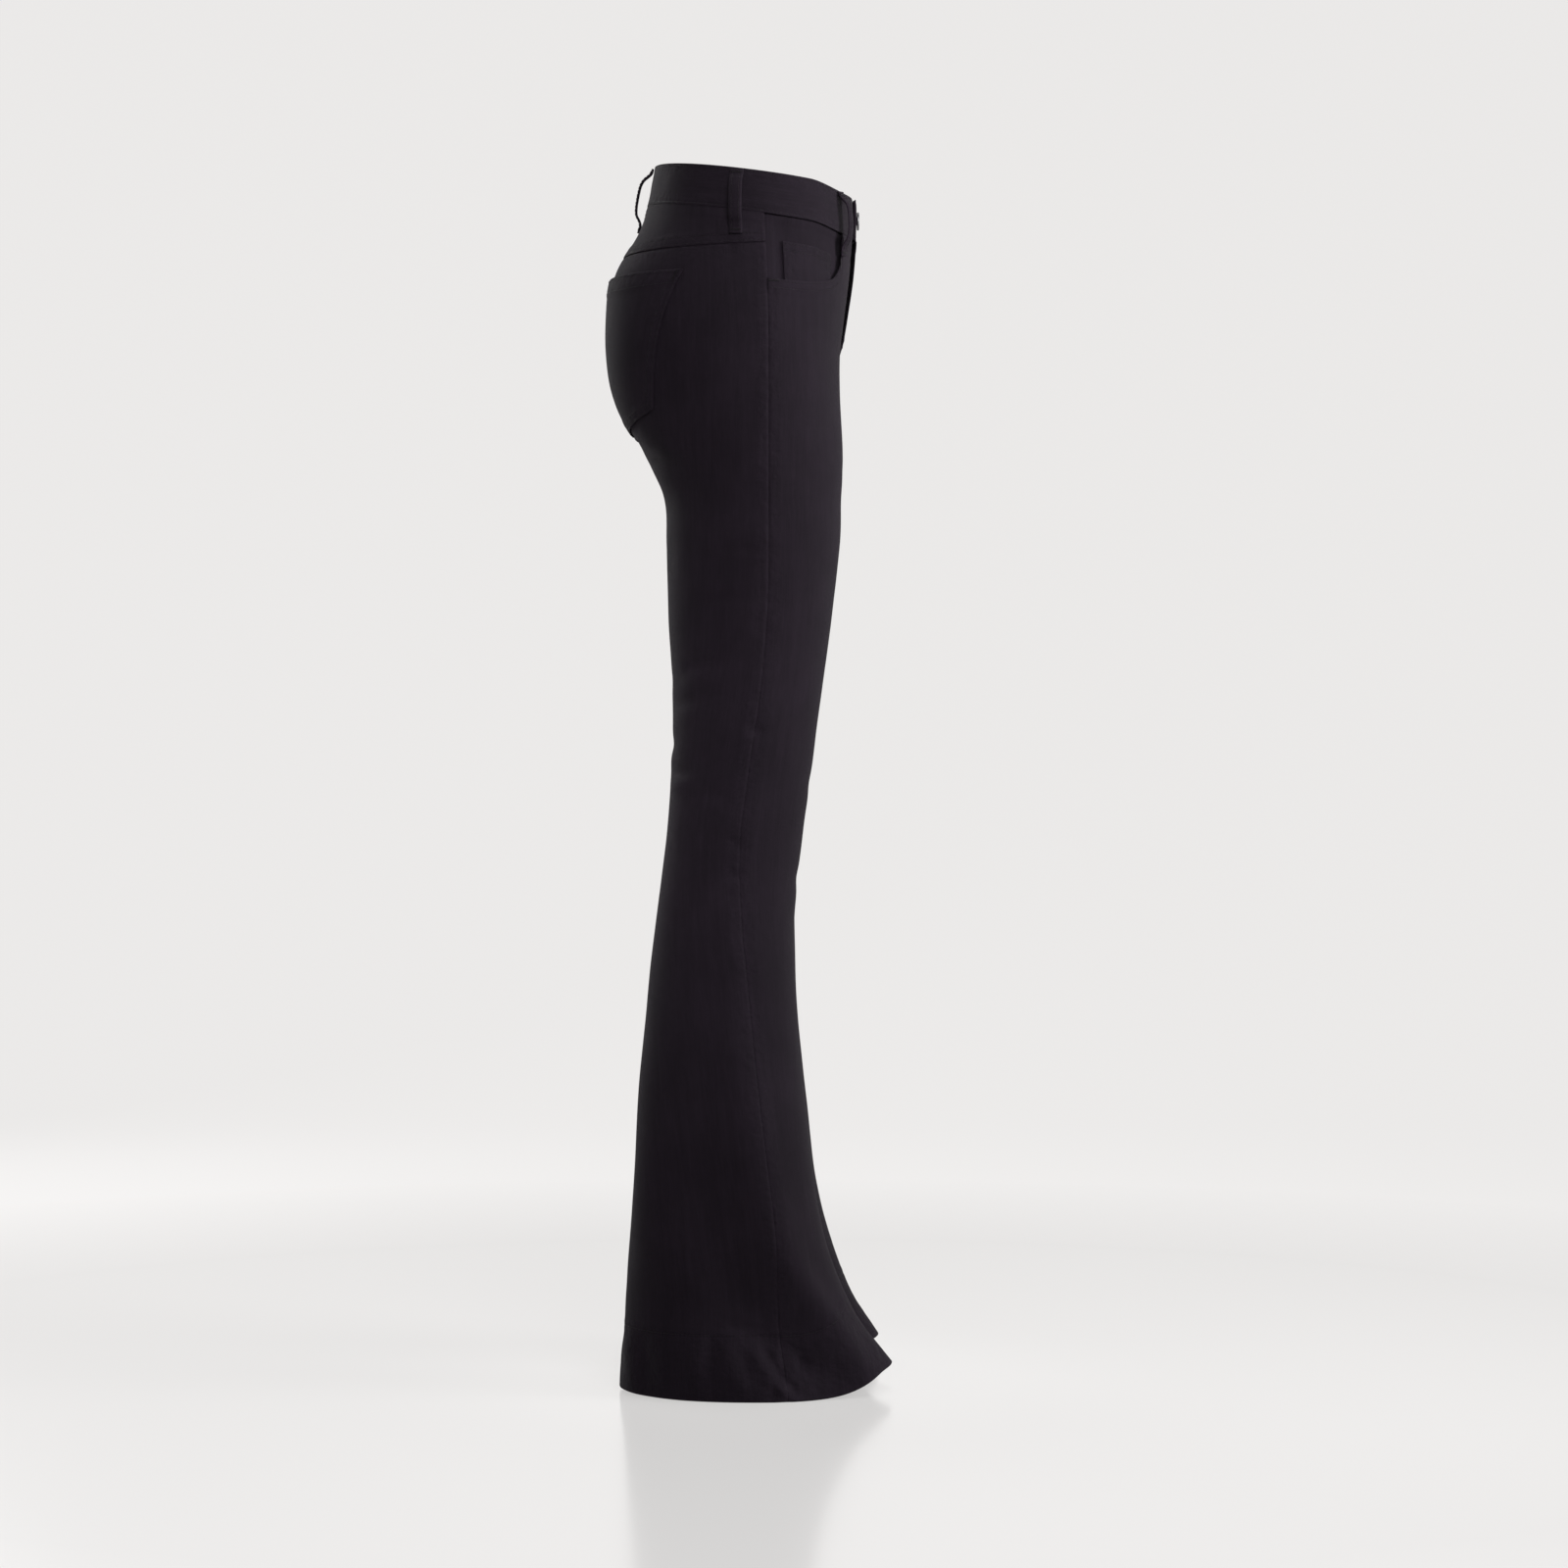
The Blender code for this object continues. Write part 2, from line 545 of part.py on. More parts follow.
def back_pocket(name, side, collection, finish):
    """A patch with a pointed foot, made of the back's own points moved out. Its mouth stands a little open."""
    s, z = back_grid()
    columns = slice(BACK_OUTER_COLUMNS, BACK_OUTER_COLUMNS + POCKET_COLUMNS + 1)
    patch = (slice(1, 1 + len(POCKET_ROWS)), columns)
    u = np.linspace(-1, 1, POCKET_COLUMNS + 1)[None, :]
    v = np.array(POCKET_ROWS)[:, None]
    lift = POCKET_LIFT * (1 - smoothstep(0, POCKET_LIFT_SHARE, v)) * (1 - (1 - POCKET_CORNER_LIFT) * u**2)
    panel(name, side, s[patch], z[patch], SEAM_GAP + DENIM + lift, DENIM, collection, finish)


def yoke(name, side, collection, finish):
    s, z = back_grid()
    top = waist_edge(s[0], BAND_HEIGHT + SEAM_GAP)
    z = np.linspace(top, z[0] + SEAM_GAP, YOKE_ROWS)
    s = between_seams((s[:1] - s[0, 0]) / (s[0, -1] - s[0, 0]), z, 1, 2)
    panel(name, side, s, z, 0.0, DENIM, collection, finish)


def waistband(collection, finish):
    """One strip, from its underlap on the left, round by the right, to the end that laps over it at the front."""
    level = waist_edge(np.array([0.0]), BAND_HEIGHT / 2)
    front_girth, _ = girths(level)
    per_metre = 1 / front_girth[0]
    under = np.linspace(UNDERLAP, LAP_STATIONS[-1], UNDERLAP_STATIONS) * per_metre
    half = np.linspace(0, 2, BAND_STATIONS)
    over = np.array(LAP_STATIONS) * per_metre
    rise = np.linspace(LAP_RISE_FROM, LAP_RISE_TO, 4) * per_metre
    left_back = half[::-1][half[::-1] > rise[0] + LAP_CLEAR]
    stations = [(1, s) for s in under] + [(-1, s) for s in half] + [(1, s) for s in left_back[1:]]
    lifts = [0.0] * len(stations)
    for s in rise:
        stations.append((1, s))
        lifts.append(LAP_LIFT * float(smoothstep(LAP_RISE_FROM, LAP_RISE_TO, s / per_metre)))
    for s in over:
        stations.append((1, s))
        lifts.append(LAP_LIFT)
    stations.append((-1, LAP_PAST_CENTRE * per_metre))
    lifts.append(LAP_LIFT)
    grid = []
    for drop in (0.0, BAND_HEIGHT / 2, BAND_HEIGHT):
        line = []
        for (side, s), lift in zip(stations, lifts):
            at = np.array([s])
            line.append(cloth_points(side, at, waist_edge(at, drop), BAND_PROUD + lift)[0])
        grid.append(line)
    return cloth_wall("waistband", np.array(grid), BAND_THICK, collection, finish)


def pocket_facing(name, side, collection, finish):
    """The cloth seen in the front pocket's mouth, under the front."""
    level = waist_edge(np.array([1.0]), BAND_HEIGHT)
    front_girth, _ = girths(level)
    first = 1 - (SCOOP_WIDTH + FACING_OVERLAP) / front_girth[0]
    s = np.linspace(first, 1, FACING_COLUMNS)
    top = waist_edge(s, BAND_HEIGHT + SEAM_GAP)
    bottom = scoop_edge(np.ones(1))[0] - FACING_OVERLAP
    z = np.linspace(top, np.full(len(s), bottom), FACING_ROWS)
    front_girth, _ = girths(z.ravel())
    front_girth = front_girth.reshape(z.shape)
    s = np.minimum(s[None, :], 1 - SEAM_GAP / 2 / front_girth)
    panel(name, side, s, z, -facing_depth(s, z, front_girth), DENIM, collection, finish)


def facing_depth(s, z, front_girth):
    """How far the facing lies under the form: one layer at its sewn edges, and room for the coin pocket inside."""
    from_seam = smoothstep(SEWN_EDGE, FACING_SIDE_SLOPE, (1 - s) * front_girth)
    from_band = smoothstep(SEWN_EDGE, FACING_TOP_SLOPE, waist_edge(s, BAND_HEIGHT) - z)
    one_layer = DENIM + SEAM_GAP
    return one_layer + (DENIM + SEAM_GAP + 2 * BEDDING) * from_seam * from_band


def coin_pocket(collection, finish):
    """On the right facing, its lower part under the front."""
    level = waist_edge(np.array([1.0]), BAND_HEIGHT + COIN_BELOW_BAND)
    front_girth, _ = girths(level)
    s = 1 - np.linspace(COIN_FROM_SEAM + COIN_WIDTH, COIN_FROM_SEAM, COIN_COLUMNS) / front_girth[0]
    top = waist_edge(s, BAND_HEIGHT + COIN_BELOW_BAND)
    z = np.linspace(top, top - COIN_HEIGHT, COIN_ROWS)
    s = np.broadcast_to(s, z.shape)
    panel("coin_pocket", -1, s, z, -DENIM - SEAM_GAP - BEDDING, DENIM, collection, finish)


def hem(name, side, collection, finish):
    """The turned-up hem: a ring inside the leg."""
    s = np.concatenate([column_shares(FRONT_COLUMNS), 1 + column_shares(BACK_COLUMNS)[1:-1]])
    bottom = hem_edge(s)
    z = np.array([bottom + HEM_DEPTH * share for share in HEM_ROWS])
    s = np.broadcast_to(s, z.shape)
    panel(name, side, s, z, -DENIM - SEAM_GAP, DENIM, collection, finish, ring=True)


def zip_tape(collection, finish):
    """The closed zip's tape and chain, across the centre front inside the fronts."""
    top = waist_edge(np.array([0.0]), BAND_HEIGHT)[0] - SEAM_GAP - ZIP_UNDER_BAND
    levels = np.linspace(top, ZIP_END_LEVEL, ZIP_ROWS)
    grid = []
    for level in levels:
        front_girth, _ = girths(level)
        line = []
        for across in ZIP_STATIONS:
            s = np.array([abs(across) / front_girth[0]])
            line.append(cloth_points(-1 if across <= 0 else 1, s, np.array([level]), ZIP_FACE)[0])
        grid.append(line)
    cloth_wall("zip", np.array(grid), ZIP_THICK, collection, finish, flip=True)


def scaled(size):
    return Matrix.Diagonal((*size, 1.0))


def move_to(obj, collection):
    for held in list(obj.users_collection):
        held.objects.unlink(obj)
    collection.objects.link(obj)


def box(name, size, place, lean, bevel, collection, finish):
    bpy.ops.mesh.primitive_cube_add(size=1, location=place, rotation=(lean, 0, 0))
    made = bpy.context.object
    made.name = name
    made.data.transform(scaled(size))
    edge = made.modifiers.new("bevel", "BEVEL")
    edge.width = bevel
    edge.segments = 2
    made.data.materials.append(finish)
    move_to(made, collection)
    return made


def zip_slider(collection, cutters, finish):
    """The slider at the top of the closed zip, with its tab lying down over the chain, under the left front."""
    front_girth, _ = girths(waist_edge(np.array([0.0]), BAND_HEIGHT))
    s = np.array([SLIDER_X / front_girth[0]])
    top = waist_edge(np.array([0.0]), BAND_HEIGHT)[0] - SLIDER_DROP
    tab_drop = (SLIDER_SIZE[2] + TAB_SIZE[2]) / 2 - TAB_OVERLAP
    places = {}
    for name, level, size in (("body", top, SLIDER_SIZE), ("tab", top - tab_drop, TAB_SIZE)):
        above, at = cloth_points(1, s, np.array([level + LEAN_REACH, level]), ZIP_FACE)
        lean = math.atan2(at[1] - above[1], above[2] - at[2])
        rest = SLIDER_SIZE[1] / 2 + 2 * SEAM_GAP
        places[name] = (tuple(at - np.array([0, rest, 0])), lean)
    body = box("zip_slider", SLIDER_SIZE, *places["body"], SLIDER_BEVEL, collection, finish)
    tab = box("slider_tab", TAB_SIZE, *places["tab"], TAB_BEVEL, cutters, finish)
    tab.hide_render = True
    tab.display_type = "WIRE"
    join = body.modifiers.new("tab", "BOOLEAN")
    join.operation = "UNION"
    join.object = tab


def belt_loop(loop, collection, finish):
    """A folded strip, sewn flat at both ends and standing off the band between them."""
    s = np.array([loop.s])
    top = waist_edge(s, 0.0)[0] - LOOP_TOP_INSET
    on_band = BAND_PROUD + SEAM_GAP
    off_band = BAND_PROUD + loop.gap
    rows = [(row.drop, on_band + row.share * (off_band - on_band)) for row in LOOP_ROWS]
    rows += [(drop, SEAM_GAP + BEDDING) for drop in (LOOP_FOOT_DROP, LOOP_LENGTH)]
    level = waist_edge(s, BAND_HEIGHT / 2)
    left = cloth_points(loop.side, s - LOOP_HALF_REACH, level)[0]
    right = cloth_points(loop.side, np.minimum(s + LOOP_HALF_REACH, 2), level)[0]
    across = right - left
    across[2] = 0
    across /= np.linalg.norm(across)
    if loop.s == 2.0:
        across = np.array([1.0, 0.0, 0.0])
    outward = np.array([across[1], -across[0], 0.0])
    centre = cloth_points(loop.side, s, level)[0]
    if np.dot(outward[:2], centre[:2]) < 0:
        outward = -outward
    grid = []
    for drop, face in rows:
        at = cloth_points(loop.side, s, np.array([top - drop]))[0]
        middle = at + outward * (face + LOOP_THICK)
        grid.append([middle - across * LOOP_WIDTH / 2, middle, middle + across * LOOP_WIDTH / 2])
    cloth_wall(loop.name, np.array(grid), LOOP_THICK, collection, finish, flip=loop.side > 0)


def button(band, collection, cutters, finish):
    """A shank button on the underlap, whose shank stands in the buttonhole of the lap over it."""
    level = waist_edge(np.array([0.0]), BAND_HEIGHT / 2)[0]
    front_girth, _ = girths(level)
    s = np.array([BUTTON_X / front_girth[0]])
    lap = cloth_points(1, s, np.array([level]), BAND_PROUD + LAP_LIFT)[0]
    depth = LAP_LIFT - SEAM_GAP
    under = SEAM_GAP * 2
    profile = [(BUTTON_RADIUS * ring.radius, BUTTON_DEPTH * ring.height) for ring in BUTTON_DOME]
    profile += [(BUTTON_RADIUS * BUTTON_UNDERSIDE, under), (SHANK_RADIUS, under)]
    profile += [(SHANK_RADIUS, -depth), (0.0, -depth)]
    mesh = bpy.data.meshes.new("button")
    edges = [(i, i + 1) for i in range(len(profile) - 1)]
    mesh.from_pydata([(radius, 0.0, height) for radius, height in profile], edges, [])
    turned = add("button", mesh, collection, finish)
    turned.location = lap
    turned.rotation_euler = (math.radians(90), 0, 0)
    screw = turned.modifiers.new("turn", "SCREW")
    screw.axis = "Z"
    screw.steps = BUTTON_STEPS
    screw.render_steps = BUTTON_STEPS
    screw.use_merge_vertices = True
    screw.merge_threshold = 0.00001
    middle = cloth_points(1, s, np.array([level]), BAND_PROUD + LAP_LIFT - BAND_THICK / 2)[0]
    bpy.ops.mesh.primitive_cylinder_add(vertices=BUTTONHOLE_SIDES, radius=1, depth=1, location=middle)
    hole = bpy.context.object
    hole.name = "buttonhole_cutter"
    hole.data.transform(scaled((BUTTONHOLE[0], BUTTONHOLE[1], BAND_THICK + 2 * SEAM_GAP)))
    hole.rotation_euler = (math.radians(90), 0, 0)
    hole.hide_render = True
    hole.display_type = "WIRE"
    move_to(hole, cutters)
    cut = band.modifiers.new("buttonhole", "BOOLEAN")
    cut.operation = "DIFFERENCE"
    cut.object = hole


def main():
    for obj in list(bpy.data.objects):
        bpy.data.objects.remove(obj)
    jeans = bpy.data.collections.new("flared_jeans")
    cutters = bpy.data.collections.new("cutters")
    cutters.hide_render = True
    for made in (jeans, cutters):
        bpy.context.scene.collection.children.link(made)
    denim = material("black_denim", (0.016, 0.013, 0.016), 0.85)
    tape = material("zip_tape", (0.012, 0.012, 0.013), 0.8)
    metal = material("dark_metal", (0.10, 0.10, 0.11), 0.35, 1.0)
    for side, word in ((-1, "right"), (1, "left")):
        front(f"front_{word}", side, jeans, denim)
        back(f"back_{word}", side, jeans, denim)
        yoke(f"yoke_{word}", side, jeans, denim)
        pocket_facing(f"pocket_facing_{word}", side, jeans, denim)
        back_pocket(f"back_pocket_{word}", side, jeans, denim)
        hem(f"hem_{word}", side, jeans, denim)
    coin_pocket(jeans, denim)
    band = waistband(jeans, denim)
    for loop in BELT_LOOPS:
        belt_loop(loop, jeans, denim)
    button(band, jeans, cutters, metal)
    zip_tape(jeans, tape)
    zip_slider(jeans, cutters, metal)


main()
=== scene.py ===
"""Flared black jeans: fine cloth over the frame's solids, with their stitching, hardware and a studio.

Metres, +Z up. The front faces -Y and the wearer's right is -X. Every cloth piece is a stretch of one smooth
form, which is given by level sections. s runs along a half section: 0 at the inner front end, 1 at the side
seam, 2 at the inner back end. u is the distance along the cloth from the side seam, minus towards the front.
"""

import math
from collections import namedtuple
from functools import partial

import bmesh
import bpy
import numpy as np
from bpy.props import FloatProperty, FloatVectorProperty, PointerProperty
from bpy.types import Operator, Panel, PropertyGroup
from mathutils import Matrix, Vector


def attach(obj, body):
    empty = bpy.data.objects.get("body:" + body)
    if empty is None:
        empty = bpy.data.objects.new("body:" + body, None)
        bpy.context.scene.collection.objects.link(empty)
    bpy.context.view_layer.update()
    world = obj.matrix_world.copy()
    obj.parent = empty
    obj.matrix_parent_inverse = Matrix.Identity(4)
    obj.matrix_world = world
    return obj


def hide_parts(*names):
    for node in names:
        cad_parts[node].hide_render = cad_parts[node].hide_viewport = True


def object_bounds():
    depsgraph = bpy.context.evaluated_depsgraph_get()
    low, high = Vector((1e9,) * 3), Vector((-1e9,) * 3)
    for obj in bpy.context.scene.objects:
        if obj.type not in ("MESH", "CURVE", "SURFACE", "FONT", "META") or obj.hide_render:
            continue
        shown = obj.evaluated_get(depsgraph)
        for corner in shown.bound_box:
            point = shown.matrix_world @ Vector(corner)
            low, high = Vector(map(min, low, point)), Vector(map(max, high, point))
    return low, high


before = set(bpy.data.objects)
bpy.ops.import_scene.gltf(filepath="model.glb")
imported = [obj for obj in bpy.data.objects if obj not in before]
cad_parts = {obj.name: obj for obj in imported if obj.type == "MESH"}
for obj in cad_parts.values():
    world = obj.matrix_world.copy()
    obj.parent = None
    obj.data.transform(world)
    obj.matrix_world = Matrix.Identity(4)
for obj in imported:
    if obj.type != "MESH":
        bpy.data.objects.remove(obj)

bl_info = {
    "name": "Flared Jeans",
    "version": (1, 0, 0),
    "blender": (4, 5, 0),
    "location": "View3D > Sidebar > Jeans",
    "description": "Builds flared black jeans in fine cloth, with their stitching, hardware and a studio",
    "category": "Add Mesh",
}

CAD_BOX = [list(corner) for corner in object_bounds()]
RIGHT, LEFT = -1, 1
WORD = {RIGHT: "right", LEFT: "left"}

# ---------------------------------------------------------------- sizes of the cut

SEAM_GAP = 0.0001
FORK_LEVEL = -0.255

# Waistband, with the lap that is buttoned over its underlap
BAND_HEIGHT = 0.038
BAND_THICK = 0.0028
BAND_PROUD = 0.0010
BAND_ROW = 0.0022
WAIST_LEVEL = -0.0125
WAIST_TILT = 0.13
FRONT_DIP = 0.0060
UNDERLAP = 0.036
LAP_PAST_CENTRE = 0.004
LAP_LIFT = 0.0034
LAP_RISE_FROM = 0.060
LAP_RISE_TO = 0.042

# Yokes and fly
YOKE_SIDE_LEVEL = -0.0775
YOKE_CENTRE_LEVEL = -0.087
FLY_END_LEVEL = -0.166
FLY_WIDTH = 0.038
FLY_LAP = 0.006
FLY_LIFT = 0.0040
FLY_CURVE = 0.034
FLY_ROW = FLY_WIDTH - 0.003

# Hems
HEM_LEVEL = -1.109
HEM_DEPTH = 0.062
HEM_ROW = HEM_DEPTH - 0.004
HEM_FRONT_RISE = 0.0255
HEM_BACK_RISE = 0.003
HEM_REACH = 0.129
LEFT_DRAWN_IN = 0.010
DRAWN_IN_UNDER = -0.980

# Front pockets and the coin pocket
SCOOP_WIDTH = 0.100
SCOOP_DEPTH = 0.058
SCOOP_SQUARENESS = 2.6
FACING_OVERLAP = 0.018
COIN_FROM_SEAM = 0.016
COIN_WIDTH = 0.062
COIN_BELOW_BAND = 0.022
COIN_HEIGHT = 0.058
COIN_DEPTH = 0.0018

# Back pockets
POCKET_WIDTH = 0.140
POCKET_FOOT_WIDTH = 0.116
POCKET_HEIGHT = 0.124
POCKET_POINT = 0.020
POCKET_FROM_CENTRE = 0.032
POCKET_UNDER_YOKE = 0.020
POCKET_MOUTH_DIP = 0.006
POCKET_LIFT = 0.0035

# Belt loops
LOOP_WIDTH = 0.012
LOOP_LENGTH = 0.058
LOOP_THICK = 0.0020

# Button: its face from the middle to under the rim, and its ring of beads, are in shares of radius and depth
BUTTON_X = 0.008
BUTTON_RADIUS = 0.0085
BUTTON_DEPTH = 0.0026
BUTTON_PROFILE = (
    *((0.0, 0.86), (0.30, 0.85), (0.50, 0.80), (0.62, 0.70), (0.67, 0.66), (0.72, 0.74)),
    *((0.80, 0.96), (0.88, 1.0), (0.96, 0.86), (1.0, 0.58), (0.97, 0.32)),
)
SHANK_RADIUS = 0.0030
BEADS = 28
BEAD_RADIUS = 0.00042
BEAD_RING = (0.67, 0.68)
BUTTONHOLE = (-0.011, 0.014)
BUTTONHOLE_SLIT = 0.0006
BUTTONHOLE_STITCH = 0.0020
BUTTONHOLE_THREAD = 0.0006

# Zip
ZIP_DEPTH = 0.0020
ZIP_THICK = 0.0012
ZIP_HALF_WIDTH = 0.014
ZIP_FROM_CENTRE = 0.002
ZIP_END_LEVEL = FLY_END_LEVEL + 0.004
TOOTH_PITCH = 0.0016
TOOTH_ASIDE = 0.0012
TOOTH_SIZE = (0.0030, 0.0014, 0.0009)

# The trimmed edges inside the seams
ALLOWANCE = 0.0090
ALLOWANCE_THICK = 0.0008
ALLOWANCE_DEPTH = 0.0020
ALLOWANCE_DEPTH_SIDE = 0.0017
SIDE_SEAM_TOP = -0.134
CENTRE_BACK_TOP = -0.048
HEM_SEAM_END = -1.046

# The studio's floor, which bends up into its wall
SWEEP = 7.0
WALL_FROM = 2.2
WALL_BEND = 1.6


def named(kind, rows):
    """Rows of a table with their columns named."""
    return tuple(kind(*row) for row in rows)


BeltLoop = namedtuple("BeltLoop", "name side s gap")
BELT_LOOPS = named(BeltLoop, (
    ("belt_loop_front_right", RIGHT, 0.46, 0.0080),
    ("belt_loop_front_left", LEFT, 0.46, 0.0080),
    ("belt_loop_side_right", RIGHT, 1.12, 0.0080),
    ("belt_loop_side_left", LEFT, 1.12, 0.0080),
    ("belt_loop_back", RIGHT, 2.0, 0.0095),
))

# The form. For each level: the outermost x, the inner edge of the leg (under FORK_SOFT the two legs are
# joined), the y of the outermost point, the y of the frontmost and rearmost points and how far each is from
# the centre plane, the side seam's y, and how square the front and back are (2 is an ellipse).
FORK_SOFT = 0.010
Section = namedtuple("Section", "z side_x inner_x mid_y front_y back_y front_x back_x seam_y front_n back_n")
SECTIONS = named(Section, (
    (0.040, 0.129, -0.200, -0.002, -0.0855, 0.0870, 0.000, 0.000, -0.006, 2.15, 2.15),
    (-0.010, 0.134, -0.200, -0.001, -0.0877, 0.0915, 0.000, 0.000, -0.008, 2.15, 2.15),
    (-0.060, 0.147, -0.200, 0.002, -0.0888, 0.1045, 0.012, 0.016, -0.010, 2.20, 2.10),
    (-0.100, 0.160, -0.190, 0.005, -0.0865, 0.1260, 0.030, 0.036, -0.012, 2.20, 2.05),
    (-0.140, 0.169, -0.150, 0.006, -0.0815, 0.1320, 0.050, 0.056, -0.013, 2.20, 2.05),
    (-0.175, 0.1725, -0.100, 0.005, -0.0775, 0.1318, 0.066, 0.066, -0.0135, 2.20, 2.05),
    (-0.210, 0.1735, -0.048, 0.003, -0.0775, 0.1262, 0.078, 0.074, -0.0135, 2.15, 2.05),
    (-0.235, 0.1732, -0.015, 0.001, -0.0785, 0.1165, 0.084, 0.080, -0.0135, 2.10, 2.05),
    (-0.255, 0.1725, 0.010, 0.000, -0.0795, 0.1048, 0.087, 0.084, -0.0135, 2.08, 2.05),
    (-0.275, 0.1712, 0.0170, -0.001, -0.0797, 0.0925, 0.088, 0.087, -0.0135, 2.05, 2.05),
    (-0.305, 0.1690, 0.0205, -0.002, -0.0783, 0.0805, 0.088, 0.088, -0.0135, 2.05, 2.05),
    (-0.345, 0.1662, 0.0240, -0.002, -0.0775, 0.0785, 0.088, 0.088, -0.0135, 2.05, 2.05),
    (-0.410, 0.1618, 0.0280, 0.001, -0.0700, 0.0772, 0.089, 0.089, -0.012, 2.05, 2.05),
    (-0.475, 0.1575, 0.0310, 0.006, -0.0615, 0.0735, 0.090, 0.090, -0.006, 2.05, 2.05),
    (-0.545, 0.1538, 0.0325, 0.012, -0.0518, 0.0745, 0.091, 0.091, 0.004, 2.05, 2.05),
    (-0.610, 0.1532, 0.0310, 0.017, -0.0438, 0.0793, 0.091, 0.091, 0.012, 2.05, 2.05),
    (-0.680, 0.1555, 0.0275, 0.023, -0.0370, 0.0880, 0.091, 0.091, 0.011, 2.05, 2.05),
    (-0.755, 0.1595, 0.0235, 0.026, -0.0383, 0.0968, 0.091, 0.091, 0.004, 2.05, 2.05),
    (-0.830, 0.1640, 0.0197, 0.026, -0.0442, 0.1040, 0.091, 0.091, -0.003, 2.02, 2.05),
    (-0.900, 0.1678, 0.0172, 0.023, -0.0523, 0.1085, 0.091, 0.091, -0.011, 1.98, 2.05),
    (-0.940, 0.1695, 0.0161, 0.019, -0.0575, 0.1118, 0.091, 0.091, -0.016, 1.96, 2.05),
    (-0.975, 0.1708, 0.0154, 0.014, -0.0648, 0.1143, 0.091, 0.091, -0.020, 1.94, 2.05),
    (-1.010, 0.1720, 0.0149, 0.009, -0.0768, 0.1172, 0.091, 0.091, -0.024, 1.90, 2.05),
    (-1.045, 0.1732, 0.0143, 0.004, -0.0938, 0.1196, 0.092, 0.091, -0.027, 1.86, 2.05),
    (-1.075, 0.1740, 0.0140, 0.001, -0.1165, 0.1210, 0.092, 0.091, -0.029, 1.84, 2.05),
    (-1.112, 0.1748, 0.0138, -0.001, -0.1480, 0.1218, 0.092, 0.091, -0.031, 1.84, 2.05),
))

# The largest folds of each leg, which the solids have too: a line down the cloth, by level and distance u
# from the side seam, with how far it stands out and how wide it is.
FoldPoint = namedtuple("FoldPoint", "z u depth width")
FLARE_HOLLOW = named(FoldPoint, (
    (-0.600, 0.060, 0.0000, 0.040),
    (-0.700, 0.064, -0.0015, 0.040),
    (-0.777, 0.070, -0.0040, 0.042),
    (-0.838, 0.066, -0.0065, 0.044),
    (-0.899, 0.063, -0.0088, 0.046),
    (-0.942, 0.058, -0.0104, 0.046),
    (-0.977, 0.050, -0.0115, 0.046),
    (-1.003, 0.038, -0.0118, 0.045),
    (-1.025, 0.024, -0.0114, 0.043),
    (-1.047, 0.007, -0.0108, 0.040),
    (-1.068, -0.008, -0.0094, 0.036),
    (-1.112, -0.044, -0.0062, 0.032),
))
SHIN_RIDGE = named(FoldPoint, (
    (-0.640, 0.010, 0.0000, 0.021),
    (-0.700, 0.013, 0.0022, 0.021),
    (-0.777, 0.020, 0.0036, 0.020),
    (-0.838, 0.012, 0.0042, 0.021),
    (-0.899, 0.005, 0.0046, 0.022),
    (-0.942, -0.002, 0.0052, 0.021),
    (-0.977, -0.011, 0.0058, 0.020),
    (-1.003, -0.023, 0.0064, 0.019),
    (-1.025, -0.036, 0.0064, 0.019),
    (-1.047, -0.052, 0.0060, 0.019),
    (-1.068, -0.063, 0.0052, 0.019),
    (-1.112, -0.094, 0.0030, 0.020),
))
FOLDS = (FLARE_HOLLOW, SHIN_RIDGE)

# Over the hem's stiff band the cloth is drawn in, and the band kicks out under it. The line where it is
# deepest falls towards the front. Columns: the distance u, the height over the hem and the depth.
KICK = (
    (-0.100, 0.014, 0.0000),
    (-0.064, 0.020, 0.0014),
    (-0.040, 0.031, 0.0026),
    (-0.018, 0.040, 0.0038),
    (0.004, 0.050, 0.0048),
    (0.032, 0.058, 0.0056),
    (0.060, 0.067, 0.0060),
    (0.096, 0.078, 0.0060),
    (0.130, 0.085, 0.0044),
    (0.175, 0.089, 0.0024),
    (0.240, 0.089, 0.0020),
)
KICK_WIDTH_OVER = 0.044
KICK_SHARE_UNDER = 0.54

